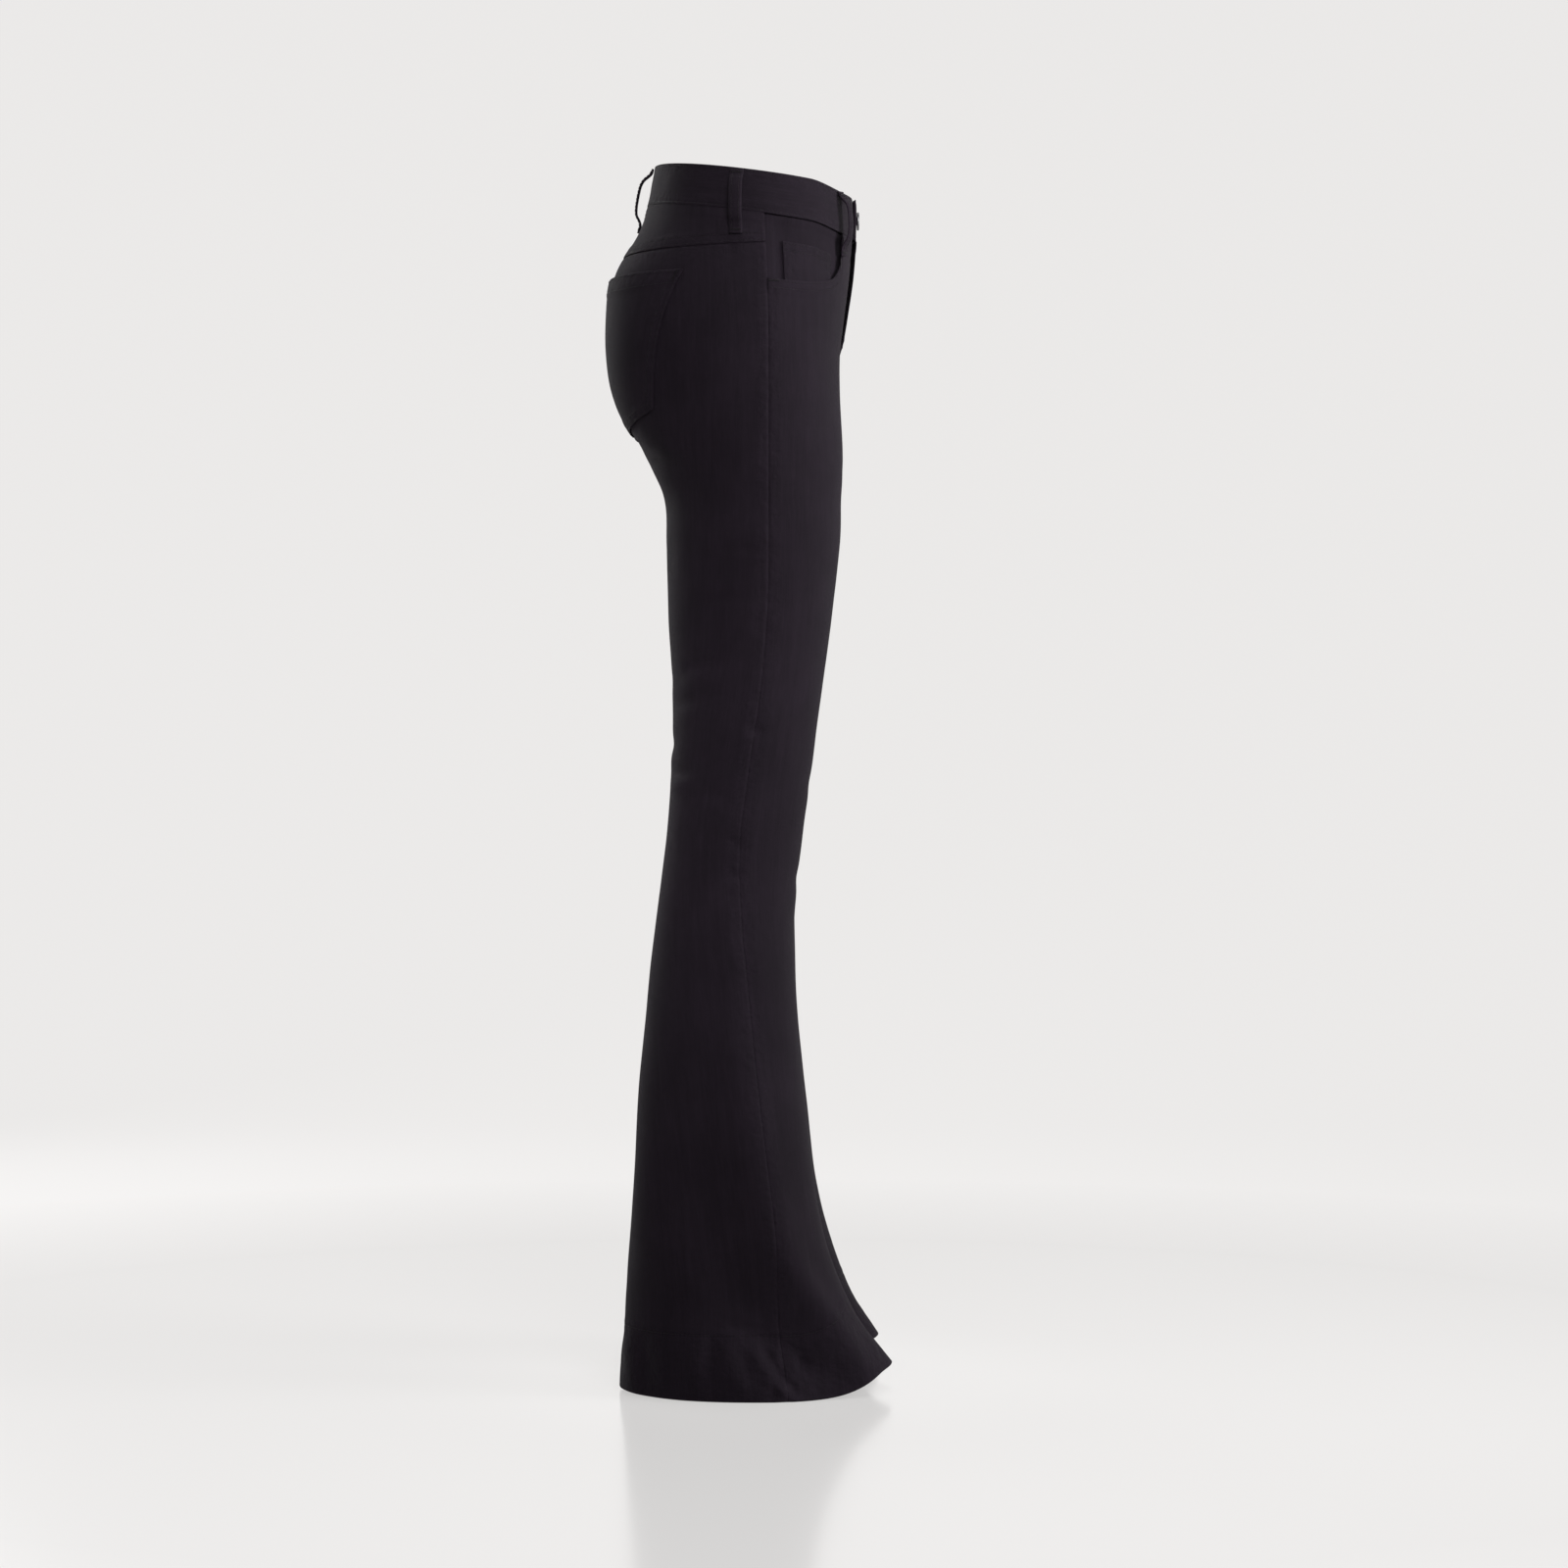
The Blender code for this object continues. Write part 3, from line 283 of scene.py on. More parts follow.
# The creases, placed one by one. Each is a soft trough: its middle by u and level, its length, its turn in
# degrees from level (plus falls towards the front), how far its middle sags, how deep and how wide it is,
# and how far its lower lip stands out as a share of its depth. A minus depth is a ridge.
Crease = namedtuple("Crease", "u z length turn sag depth width lip")
CREASES = {
    RIGHT: (
        # the leg's outside, as it shows in the photograph
        (0.020, -0.349, 0.060, 0, 0.001, 0.0011, 0.0050, 0.5),
        (0.036, -0.392, 0.075, -6, 0.002, 0.0012, 0.0055, 0.5),
        (0.004, -0.420, 0.040, 24, 0.001, 0.0008, 0.0060, 0.3),
        (0.058, -0.451, 0.066, -5, 0.002, 0.0022, 0.0065, 0.7),
        (0.066, -0.482, 0.086, -6, 0.003, 0.0020, 0.0070, 0.5),
        (-0.002, -0.511, 0.030, 28, 0.001, 0.0016, 0.0050, 0.3),
        (0.070, -0.547, 0.074, 0, 0.003, 0.0021, 0.0060, 0.9),
        (0.030, -0.569, 0.050, 4, 0.001, 0.0014, 0.0065, 0.3),
        (0.004, -0.610, 0.026, 18, 0.001, 0.0013, 0.0050, 0.4),
        (0.004, -0.640, 0.024, -14, 0.001, 0.0018, 0.0045, 0.5),
        (0.120, -0.520, 0.090, 8, 0.004, 0.0018, 0.0075, 0.4),
        (0.140, -0.470, 0.070, -10, 0.003, 0.0014, 0.0070, 0.3),
        (0.030, -0.742, 0.110, 82, 0.004, 0.0016, 0.0140, 0.2),
        (-0.018, -0.735, 0.080, 86, 0.003, -0.0009, 0.0120, 0.0),
        (0.005, -0.182, 0.020, 10, 0.000, 0.0009, 0.0050, 0.2),
        (0.128, -0.262, 0.120, 14, 0.006, 0.0022, 0.0085, 0.4),
        (0.170, -0.288, 0.090, 20, 0.004, 0.0018, 0.0070, 0.4),
        (-0.070, -0.236, 0.090, -28, 0.004, 0.0010, 0.0090, 0.2),
        # the flare: hem, flutes and the trough over the band
        (0.108, -1.022, 0.130, 6, 0.004, 0.0016, 0.0130, 0.0),
        (0.024, -1.048, 0.096, 16, 0.003, 0.0020, 0.0080, 0.0),
        (0.134, -1.078, 0.086, 84, 0.002, 0.0036, 0.0110, 0.4),
        (0.066, -1.074, 0.076, 97, 0.002, 0.0030, 0.0085, 0.5),
        (0.034, -1.080, 0.062, 74, 0.001, 0.0024, 0.0060, 0.6),
        (0.012, -1.070, 0.046, 58, 0.002, 0.0030, 0.0046, 0.9),
        (-0.002, -1.092, 0.044, 46, 0.001, 0.0028, 0.0044, 0.9),
        (-0.020, -1.074, 0.040, 66, 0.001, 0.0022, 0.0048, 0.6),
        (0.184, -1.066, 0.090, 78, 0.003, 0.0022, 0.0120, 0.4),
        (0.088, -0.930, 0.160, 80, 0.006, 0.0014, 0.0200, 0.2),
        (0.170, -0.900, 0.240, 84, 0.008, 0.0020, 0.0220, 0.2),
        (-0.110, -0.960, 0.150, 72, 0.006, 0.0016, 0.0170, 0.3),
        # the front: soft whiskers from the fork, and the slack over the knee and shin
        (-0.176, -0.232, 0.090, -34, 0.006, 0.0017, 0.0065, 0.5),
        (-0.150, -0.262, 0.110, -22, 0.007, 0.0015, 0.0070, 0.4),
        (-0.150, -0.300, 0.100, -12, 0.005, 0.0011, 0.0075, 0.4),
        (-0.110, -0.560, 0.090, 10, 0.004, 0.0010, 0.0085, 0.3),
        (-0.095, -0.640, 0.100, -8, 0.005, 0.0012, 0.0090, 0.3),
        # the back and the inside of the leg
        (0.205, -0.262, 0.110, -16, 0.008, 0.0026, 0.0075, 0.5),
        (0.190, -0.330, 0.080, 22, 0.003, 0.0013, 0.0070, 0.3),
        (0.170, -0.560, 0.080, 4, 0.004, 0.0019, 0.0065, 0.6),
        (0.160, -0.598, 0.100, -8, 0.005, 0.0021, 0.0075, 0.5),
        (0.176, -0.648, 0.070, 12, 0.003, 0.0014, 0.0070, 0.4),
        (-0.166, -1.040, 0.100, 70, 0.004, 0.0018, 0.0110, 0.3),
        (0.240, -1.050, 0.110, 84, 0.004, 0.0018, 0.0140, 0.3),
    ),
    LEFT: (
        # the leg's outside, alike but not the same as the right one
        (0.026, -0.338, 0.070, 4, 0.001, 0.0010, 0.0055, 0.5),
        (0.050, -0.405, 0.080, -9, 0.003, 0.0014, 0.0065, 0.4),
        (0.008, -0.446, 0.036, 20, 0.001, 0.0011, 0.0050, 0.3),
        (0.074, -0.462, 0.078, -3, 0.002, 0.0021, 0.0070, 0.6),
        (0.060, -0.503, 0.094, 5, 0.004, 0.0022, 0.0065, 0.6),
        (0.086, -0.541, 0.070, -8, 0.002, 0.0018, 0.0060, 0.7),
        (0.022, -0.580, 0.056, 10, 0.001, 0.0015, 0.0070, 0.3),
        (0.002, -0.628, 0.030, -20, 0.001, 0.0016, 0.0045, 0.5),
        (0.134, -0.500, 0.080, -6, 0.003, 0.0017, 0.0070, 0.4),
        (0.036, -0.760, 0.130, 84, 0.005, 0.0017, 0.0150, 0.2),
        (0.140, -0.270, 0.116, 17, 0.005, 0.0020, 0.0080, 0.4),
        (0.176, -0.300, 0.080, 12, 0.004, 0.0017, 0.0070, 0.4),
        (-0.074, -0.230, 0.080, -24, 0.004, 0.0011, 0.0085, 0.2),
        (0.096, -1.030, 0.140, -2, 0.004, 0.0028, 0.0150, 0.4),
        (0.030, -1.040, 0.070, 14, 0.003, 0.0022, 0.0110, 0.4),
        (0.150, -1.076, 0.084, 86, 0.002, 0.0034, 0.0110, 0.4),
        (0.078, -1.078, 0.070, 80, 0.002, 0.0028, 0.0085, 0.5),
        (0.016, -1.086, 0.040, 58, 0.001, 0.0018, 0.0050, 0.6),
        (-0.006, -1.074, 0.038, 66, 0.001, 0.0019, 0.0046, 0.6),
        (0.100, -0.900, 0.190, 82, 0.007, 0.0015, 0.0200, 0.2),
        (0.180, -0.940, 0.220, 86, 0.008, 0.0018, 0.0220, 0.2),
        (-0.104, -0.950, 0.160, 74, 0.006, 0.0015, 0.0170, 0.3),
        # the front: soft whiskers from the fork, and the slack over the knee and shin
        (-0.172, -0.238, 0.096, -30, 0.006, 0.0018, 0.0065, 0.5),
        (-0.146, -0.270, 0.100, -18, 0.006, 0.0014, 0.0070, 0.4),
        (-0.156, -0.312, 0.090, -8, 0.005, 0.0012, 0.0070, 0.3),
        (-0.100, -0.575, 0.096, -12, 0.004, 0.0011, 0.0085, 0.3),
        (-0.112, -0.655, 0.086, 6, 0.005, 0.0012, 0.0090, 0.3),
        # the back and the inside of the leg
        (0.200, -0.268, 0.120, -14, 0.008, 0.0024, 0.0080, 0.5),
        (0.196, -0.345, 0.070, 18, 0.003, 0.0012, 0.0070, 0.3),
        (0.166, -0.548, 0.090, -4, 0.005, 0.0020, 0.0070, 0.5),
        (0.174, -0.590, 0.084, 10, 0.004, 0.0018, 0.0065, 0.6),
        (0.158, -0.640, 0.080, -6, 0.003, 0.0015, 0.0070, 0.4),
        (-0.160, -1.046, 0.090, 74, 0.004, 0.0016, 0.0110, 0.3),
        (0.232, -1.044, 0.120, 80, 0.004, 0.0017, 0.0130, 0.3),
    ),
}

# Rows of points down each panel: their levels at the side seam and at the centre seam, which turns into the
# inseam at FORK_LEVEL, so they are close together there.
FRONT_HIP_ROWS = (
    (-0.100, -0.0554),
    (-0.126, -0.096),
    (-0.150, -0.136),
    (-0.168, -0.163),
    (-0.183, -0.1765),
    (-0.199, -0.192),
    (-0.217, -0.2165),
)
BACK_HIP_ROWS = (
    (-0.120, -0.125),
    (-0.170, -0.172),
    (-0.215, -0.218),
)
FORK_ROWS = (
    (-0.237, -0.2435),
    (-0.252, -0.2500),
    (-0.266, -0.2537),
    (-0.279, -0.2568),
    (-0.293, -0.2635),
    (-0.312, -0.279),
    (-0.340, -0.322),
)
LEG_ROWS = (-0.388, -0.602, -0.900, HEM_LEVEL + HEM_DEPTH)
HEM_FADE_LEVEL = -0.900

# How close the points are next to a sewn edge, and how wide and high the reference panels are.
EDGE_STOPS = (0.0, 0.0004, 0.0009, 0.0016, 0.0026, 0.0040, 0.0056, 0.0068, 0.0080, 0.0094, 0.0112, 0.0135)
FRONT_REFERENCE = 0.190
BACK_REFERENCE = 0.245
YOKE_HEIGHT = 0.035

# Where the rows of topstitching run, from the edge that they hold
FIRST_ROW = 0.0018
SECOND_ROW = 0.0082
ROWS = (FIRST_ROW, SECOND_ROW)
ROW_WIDTH = 0.0009
ROW_DEPTH = 0.00028
FELL_WIDTH = 0.0100

ARC_POINTS = 160
TABLE_STEP = 0.001
S_COUNT = 1201


# ---------------------------------------------------------------- settings


def length(name, description, default):
    return FloatProperty(name=name, description=description, default=default, unit="LENGTH")


def number(name, description, default, **limits):
    return FloatProperty(name=name, description=description, default=default, **limits)


def colour(name, description, *default):
    return FloatVectorProperty(name=name, description=description, subtype="COLOR", default=default)


class JeansCutSettings(PropertyGroup):
    step: length("Grid step", "Distance between the cloth's points", 0.0032)
    crease: number("Creases", "How strong the creases are", 1.0, min=0.0, max=2.0)
    pucker: number("Pucker", "How much the seams pucker", 1.0, min=0.0, max=2.0)
    cloth: length("Cloth thickness", "Thickness of one layer of denim", 0.0010)
    stitch_pitch: length("Stitch pitch", "Distance from stitch to stitch", 0.0034)
    stitch_gap: length("Stitch gap", "Bare length between two stitches", 0.0006)
    thread: length("Thread", "Width of the topstitching thread", 0.00062)


class JeansColourSettings(PropertyGroup):
    denim_dark: colour("Denim", "The dyed warp", 0.0090, 0.0059, 0.0099)
    denim_light: colour("Washed denim", "Where the weave and the edges are paler", 0.031, 0.0214, 0.0332)
    thread: colour("Thread", "The topstitching", 0.0105, 0.0084, 0.0110)
    tape: colour("Zip tape", "The zip's woven tape", 0.010, 0.010, 0.011)
    metal: colour("Hardware", "Button, slider and zip teeth", 0.16, 0.158, 0.165)


class JeansStageSettings(PropertyGroup):
    floor: colour("Floor", "The floor's colour", 0.22, 0.218, 0.216)
    glow: number("Floor glow", "How far the floor and wall are lit up white", 0.80)
    room: colour("Room", "The soft light all round", 1.0, 0.985, 0.975)
    room_strength: number("Room light", "How strong the room's light is", 0.085)
    key: number("Key light", "The lamp before the jeans", 9.5)
    knee: number("Knee light", "The soft spot behind the knees", 66.0)
    fill: number("Fill light", "The lamp above the camera", 24.0)
    back: number("Back light", "The weak lamp behind and to the left", 11.0)
    waist: number("Waist light", "The spot down into the open waist", 250.0)
    distance: length("Camera distance", "From the centre plane", 4.85)
    eye: length("Eye level", "The camera's height", -0.38)
    look_down: number("Look down", "The camera's angle under level", math.radians(2.182), unit="ROTATION")


def cut():
    """The settings of the cut, as the scene holds them."""
    return bpy.context.scene.jeans_cut


# ---------------------------------------------------------------- curves and tables


def smooth_column(rows, column, level):
    """A column of a table at any level, on a smooth curve through its rows."""
    z = np.array([row.z for row in rows])[::-1]
    value = np.array([getattr(row, column) for row in rows])[::-1]
    level = np.clip(np.asarray(level, float), z[0], z[-1])
    slope = np.gradient(value, z)
    i = np.clip(np.searchsorted(z, level) - 1, 0, len(z) - 2)
    span = z[i + 1] - z[i]
    t = (level - z[i]) / span
    rise = value[i + 1] - value[i]
    start, end = slope[i] * span, slope[i + 1] * span
    return value[i] + t * (start + t * (3 * rise - 2 * start - end + t * (start + end - 2 * rise)))


def smoothstep(edge0, edge1, x):
    t = np.clip((np.asarray(x, float) - edge0) / (edge1 - edge0), 0.0, 1.0)
    return t * t * (3 - 2 * t)


def bell(x, width):
    return np.exp(-((x / width) ** 2))


def soft_noise(x, y, seed):
    """Smooth noise from -1 to 1 with features about one unit wide."""
    lattice = np.random.default_rng(seed).uniform(-1, 1, (64, 64))
    i, j = np.floor(x).astype(int), np.floor(y).astype(int)
    a, b = smoothstep(0, 1, x - i), smoothstep(0, 1, y - j)
    corner = [[lattice[(i + m) % 64, (j + n) % 64] for n in (0, 1)] for m in (0, 1)]
    low = corner[0][0] * (1 - b) + corner[0][1] * b
    high = corner[1][0] * (1 - b) + corner[1][1] * b
    return low * (1 - a) + high * a


def half_outline(level):
    """The half section at each level as rows of x and y, its running length and the side seam's place on it."""
    c = {name: smooth_column(SECTIONS, name, level)[:, None] for name in Section._fields[1:]}
    xs, ys = [], []
    for end, n, sign, extent in (
        (c["front_x"], c["front_n"], -1, c["mid_y"] - c["front_y"]),
        (c["back_x"], c["back_n"], 1, c["back_y"] - c["mid_y"]),
    ):
        soft = np.minimum(FORK_SOFT, end)
        reach = (end - soft) / (end - c["inner_x"])
        first = np.arcsin(np.clip(reach, 0, 1) ** (n / 2))
        share = np.broadcast_to(np.linspace(0, 1, ARC_POINTS), (len(end), ARC_POINTS))
        inner = first * (1 - share)
        outer = np.pi / 2 * share
        x_inner = end - (end - c["inner_x"]) * np.sin(inner) ** (2 / n)
        x_outer = end + (c["side_x"] - end) * np.sin(outer) ** (2 / n)
        x = np.concatenate([x_inner, x_outer[:, 1:]], axis=1)
        angle = np.concatenate([inner, outer[:, 1:]], axis=1)
        y = c["mid_y"] + sign * extent * np.abs(np.cos(angle)) ** (2 / n)
        xs.append(np.sqrt(np.maximum(x * x - soft * soft, 0)))
        ys.append(y)
    x = np.concatenate([xs[0], xs[1][:, ::-1][:, 1:]], axis=1)
    y = np.concatenate([ys[0], ys[1][:, ::-1][:, 1:]], axis=1)
    step = np.hypot(np.diff(x, axis=1), np.diff(y, axis=1))
    run = np.concatenate([np.zeros((len(x), 1)), np.cumsum(step, axis=1)], axis=1)
    outer_part = slice(ARC_POINTS, 3 * ARC_POINTS - 3)
    seam = np.array(
        [np.interp(s, yy, rr) for s, yy, rr in zip(c["seam_y"][:, 0], y[:, outer_part], run[:, outer_part])]
    )
    return x, y, run, seam


class Form:
    """The smooth form, worked out once at close levels and then read between them."""

    def __init__(self):
        self.low, high = SECTIONS[-1].z - 0.004, SECTIONS[0].z
        self.levels = np.arange(self.low, high, TABLE_STEP)
        x, y, run, seam = half_outline(self.levels)
        total = run[:, -1]
        self.front, self.back = seam, total - seam
        s = np.linspace(0, 2, S_COUNT)
        self.table = np.empty((len(self.levels), S_COUNT, 2))
        for i in range(len(self.levels)):
            at = np.where(s < 1, s * seam[i], seam[i] + (s - 1) * (total[i] - seam[i]))
            self.table[i, :, 0] = np.interp(at, run[i], x[i])
            self.table[i, :, 1] = np.interp(at, run[i], y[i])

    def girths(self, z):
        return np.interp(z, self.levels, self.front), np.interp(z, self.levels, self.back)

    def points(self, s, z):
        row = np.clip((z - self.low) / TABLE_STEP, 0, len(self.levels) - 1.001)
        column = np.clip(s * (S_COUNT - 1) / 2, 0, S_COUNT - 1.001)
        i, j = row.astype(int), column.astype(int)
        a, b = (row - i)[:, None], (column - j)[:, None]
        t = self.table
        under, over = (t[k, j] * (1 - b) + t[k, j + 1] * b for k in (i, i + 1))
        return np.column_stack([under * (1 - a) + over * a, z])


FORM = Form()


def front_girth(z):
    """The length of a half section from the centre or the inseam to the side seam."""
    return FORM.girths(z)[0]


def back_girth(z):
    return FORM.girths(z)[1]


def from_side_seam(s, z):
    front, back = FORM.girths(z)
    return np.where(s < 1, (s - 1) * front, (s - 1) * back)


def crease_height(side, u, z):
    height = np.zeros(u.shape)
    for crease in named(Crease, CREASES[side]):
        turn = math.radians(crease.turn)
        du, dz = u - crease.u, z - crease.z
        along = (-du * math.cos(turn) - dz * math.sin(turn)) * 2 / crease.length
        near = np.abs(along) < 1
        across = -du[near] * math.sin(turn) + dz[near] * math.cos(turn) + crease.sag * (1 - along[near] ** 2)
        fade = (1 - along[near] ** 2) ** 2
        trough = -bell(across, crease.width)
        lip = crease.lip * bell(across + 1.9 * crease.width, 1.2 * crease.width)
        height[near] += crease.depth * fade * (trough + lip)
    return height


def fold_height(side, s, z):
    """How far folds, creases and the cloth's own unevenness move it out at each point."""
    u = from_side_seam(s, z)
    height = np.zeros(len(z))
    for fold in FOLDS:
        axis = smooth_column(fold, "u", z)
        depth = smooth_column(fold, "depth", z)
        width = smooth_column(fold, "width", z)
        height += np.where(z <= fold[0].z, depth * bell(u - axis, width), 0.0)
    kick_u, *columns = zip(*KICK)
    above, kick = (np.interp(u, kick_u, column) for column in columns)
    kick *= 1 + 0.30 * soft_noise(u / 0.060 + 9 * side, z * 0, 2)
    over = z - HEM_LEVEL - above
    height -= kick * bell(over, np.where(over > 0, KICK_WIDTH_OVER, KICK_SHARE_UNDER * above))
    loose = smoothstep(-0.10, -0.32, z)
    uneven = 0.00050 * soft_noise(u / 0.045 + 7 * side, z / 0.060, 3)
    uneven += 0.00025 * soft_noise(u / 0.018 + 5 * side, z / 0.030, 4)
    height += cut().crease * (crease_height(side, u, z) + loose * uneven)
    return height


def cloth_points(side, s, z, out=0.0):
    """Points on the cloth's outside, moved out by a distance. A minus s is past the centre plane."""
    s, z, out = np.broadcast_arrays(np.asarray(s, float), np.asarray(z, float), np.asarray(out, float))
    shape = s.shape
    s, z, out = s.ravel(), z.ravel(), out.ravel()
    across = np.where(s < 0, -side, side)
    s = np.abs(s)
    base = FORM.points(s, z)
    along = FORM.points(np.minimum(s + 0.008, 2), z) - FORM.points(np.maximum(s - 0.008, 0), z)
    down = FORM.points(s, z - 0.002) - FORM.points(s, z + 0.002)
    normal = np.cross(down, along)
    normal /= np.linalg.norm(normal, axis=1)[:, None]
    points = base + normal * (fold_height(side, s, z) + out)[:, None]
    points[:, 0] *= across
    left_hem = np.where(across > 0, smoothstep(DRAWN_IN_UNDER, HEM_LEVEL, z), 0.0)
    points[:, 1] += LEFT_DRAWN_IN * left_hem * np.clip(-points[:, 1] / HEM_REACH, 0, 1)
    return points.reshape(*shape, 3)


def waist_edge(s, drop):
    """The level at which a line parallel to the waistband's top edge, that far under it, crosses s."""
    s = np.asarray(s, float)
    z = np.full(s.shape, WAIST_LEVEL - drop)
    for _ in range(3):
        y = FORM.points(np.abs(s).ravel(), z.ravel())[:, 1].reshape(s.shape)
        z = WAIST_LEVEL - drop + WAIST_TILT * y - FRONT_DIP * smoothstep(0.050, 0.086, -y)
    return z


def hem_edge(s):
    """The level of the hem's lower edge at s. It rises over the instep and a little at the heel."""
    s = np.asarray(s, float)
    y = FORM.points(s.ravel(), np.full(s.size, HEM_LEVEL))[:, 1].reshape(s.shape)
    steep = np.clip(-y / HEM_REACH, 0, None) ** 4
    front_rise = HEM_FRONT_RISE * steep / (1 + steep**3) ** (1 / 3)
    back_rise = HEM_BACK_RISE * np.clip(y / HEM_REACH, 0, 1) ** 4
    return HEM_LEVEL + front_rise + back_rise


def yoke_edge(s):
    return YOKE_SIDE_LEVEL + (YOKE_CENTRE_LEVEL - YOKE_SIDE_LEVEL) * (np.asarray(s, float) - 1)


def scoop_edge(s):
    """The front's upper edge: the waistband's seam, then down round the pocket mouth to the side seam."""
    s = np.asarray(s, float)
    top = waist_edge(s, BAND_HEIGHT)
    inside = np.clip((1 - s) * front_girth(top) / SCOOP_WIDTH, 0, 1)
    n = SCOOP_SQUARENESS
    return top - SCOOP_DEPTH * (1 - inside**n) ** (1 / n)


# ---------------------------------------------------------------- grids and meshes


def stops(length, step, start=True, end=True):
    """Distances along a length, close together at its sewn ends and evenly spaced between them."""
    edge = np.array(EDGE_STOPS)
    head = edge if start else np.zeros(1)
    tail = length - edge[::-1] if end else np.array([length])
    count = max(2, round((tail[0] - head[-1]) / step))
    return np.concatenate([head, np.linspace(head[-1], tail[0], count + 1)[1:-1], tail])


def fitted(places, reference, length):
    """The stops of a reference length on lengths that are a little longer or shorter, with the same edges."""
    edge = EDGE_STOPS[-1]
    middle = edge + (places - edge) * (length - 2 * edge) / (reference - 2 * edge)
    last = length - (reference - places)
    return np.where(places < edge, places, np.where(places > reference - edge, last, middle))


def rows_between(coarse, step, last_step=None):
    """Close rows of levels through a few rows of them, closer still at the top and bottom edges."""
    run = np.concatenate([[0], np.cumsum(np.abs(np.diff(coarse, axis=0)).mean(1))])
    places = stops(run[-1], step)
    if last_step:
        hem_start = run[-1] - HEM_DEPTH - 0.020
        upper = places[places < hem_start]
        lower = hem_start + stops(run[-1] - hem_start, last_step, start=False)
        places = np.concatenate([upper, lower])
    k = np.clip(np.searchsorted(run, places, side="right") - 1, 0, len(run) - 2)
    t = ((places - run[k]) / (run[k + 1] - run[k]))[:, None]
    return coarse[k] * (1 - t) + coarse[k + 1] * t


def leg_levels(hips, share, bottom):
    fork = [at_side + (at_centre - at_side) * share for at_side, at_centre in FORK_ROWS]
    leg = np.array(LEG_ROWS)
    down = smoothstep(0, 1, (leg - HEM_FADE_LEVEL) / (HEM_LEVEL + HEM_DEPTH - HEM_FADE_LEVEL))
    leg = leg[:, None] + down[:, None] * (bottom - HEM_LEVEL)[None, :]
    return np.concatenate([hips, fork, leg, [bottom]])


def through_fork(z, inner):
    """Moves the rows near the fork a little, so that one meets it at the panel's inner edge."""
    nearest = np.argmin(np.abs(z[:, inner] - FORK_LEVEL))
    return z + (FORK_LEVEL - z[nearest, inner]) * bell(z - z[nearest], 0.012)


def pressed_seam(d, v):
    """Two edges sewn and pressed open: a fine groove with a low, uneven welt beside it."""
    pucker = cut().pucker
    wave = 1 + 0.55 * pucker * soft_noise(v / 0.0065, d / 0.010, 11) + 0.3 * soft_noise(v / 0.030, d * 0, 12)
    welt = 0.00020 * wave * (1 - smoothstep(0.0095, 0.0130, d)) * smoothstep(0.0004, 0.0030, d)
    return welt - 0.00032 * bell(d, 0.0009)


def felled_seam(d, v, height=0.0009):
    """The upper side of a lapped seam: a raised flat strip with two rows of stitching sunk into it."""
    pucker = cut().pucker
    wave = 1 + 0.30 * pucker * soft_noise(v / 0.0050, d / 0.006, 21) + 0.2 * soft_noise(v / 0.025, d * 0, 22)
    strip = height * wave * (1 - smoothstep(FELL_WIDTH - 0.0008, FELL_WIDTH + 0.0022, d))
    edge = -0.0006 * bell(d, 0.0006)
    return strip + edge - ROW_DEPTH * two_rows(d)


def two_rows(d):
    """Where a double row of stitching sinks into the cloth, by the distance from the edge that it holds."""
    return sum(bell(d - row, ROW_WIDTH) for row in ROWS)


def under_seam(d):
    """The lower side of a lapped seam, drawn down into it."""
    return -0.0007 * bell(d, 0.0016)


def turned_edge(d):
    """A folded edge, rounded over."""
    return -0.0009 * (1 - np.sqrt(np.clip(1 - (1 - np.clip(d / 0.0012, 0, 1)) ** 2, 0, 1)))


def add_object(name, mesh, finish):
    mesh.materials.append(FINISHES[finish])
    piece = bpy.data.objects.new(name, mesh)
    bpy.context.scene.collection.objects.link(piece)
    return piece


def add_mesh(name, points, faces, finish):
    mesh = bpy.data.meshes.new(name)
    mesh.from_pydata(points.tolist(), [], faces)
    mesh.shade_smooth()
    return add_object(name, mesh, finish)


def cloth_piece(name, points, u, v, seam=0.0, wear=0.0, finish="denim", thick=None, flip=False):
    """A grid of points as a sheet of cloth that takes the place of the node of its name, where there is one.

    Its weave is laid by u and v in metres, and its two masks are attributes. What a piece adds to its u and v
    only lays it on its own stretch of the weave.
    """
    rows, columns = points.shape[:2]
    a = (np.arange(rows - 1)[:, None] * columns + np.arange(columns - 1)[None, :]).ravel()
    quads = np.column_stack([a, a + 1, a + 1 + columns, a + columns])
    if flip:
        quads = quads[:, ::-1]
    piece = add_mesh(name, points.reshape(-1, 3), quads.tolist(), finish)
    mesh = piece.data
    vertex = np.empty(len(mesh.loops), int)
    mesh.loops.foreach_get("vertex_index", vertex)
    uv = np.stack(np.broadcast_arrays(u, v), axis=-1)
    layer = mesh.uv_layers.new(name="Weave")
    layer.data.foreach_set("uv", uv.reshape(-1, 2)[vertex].astype(np.float32).ravel())
    for mask, values in (("seam", seam), ("wear", wear)):
        values = np.clip(np.broadcast_to(values, (rows, columns)), 0, 1).astype(np.float32)
        mesh.attributes.new(mask, "FLOAT", "POINT").data.foreach_set("value", values.ravel())
    wall = piece.modifiers.new("Cloth", "SOLIDIFY")
    wall.thickness = thick or cut().cloth
    wall.offset = -1.0
    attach(piece, "root")
    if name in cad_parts:
        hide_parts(name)
    return piece


def cloth_area(piece, digits):
    return round(sum(face.area for face in piece.data.polygons), digits)


# ---------------------------------------------------------------- materials


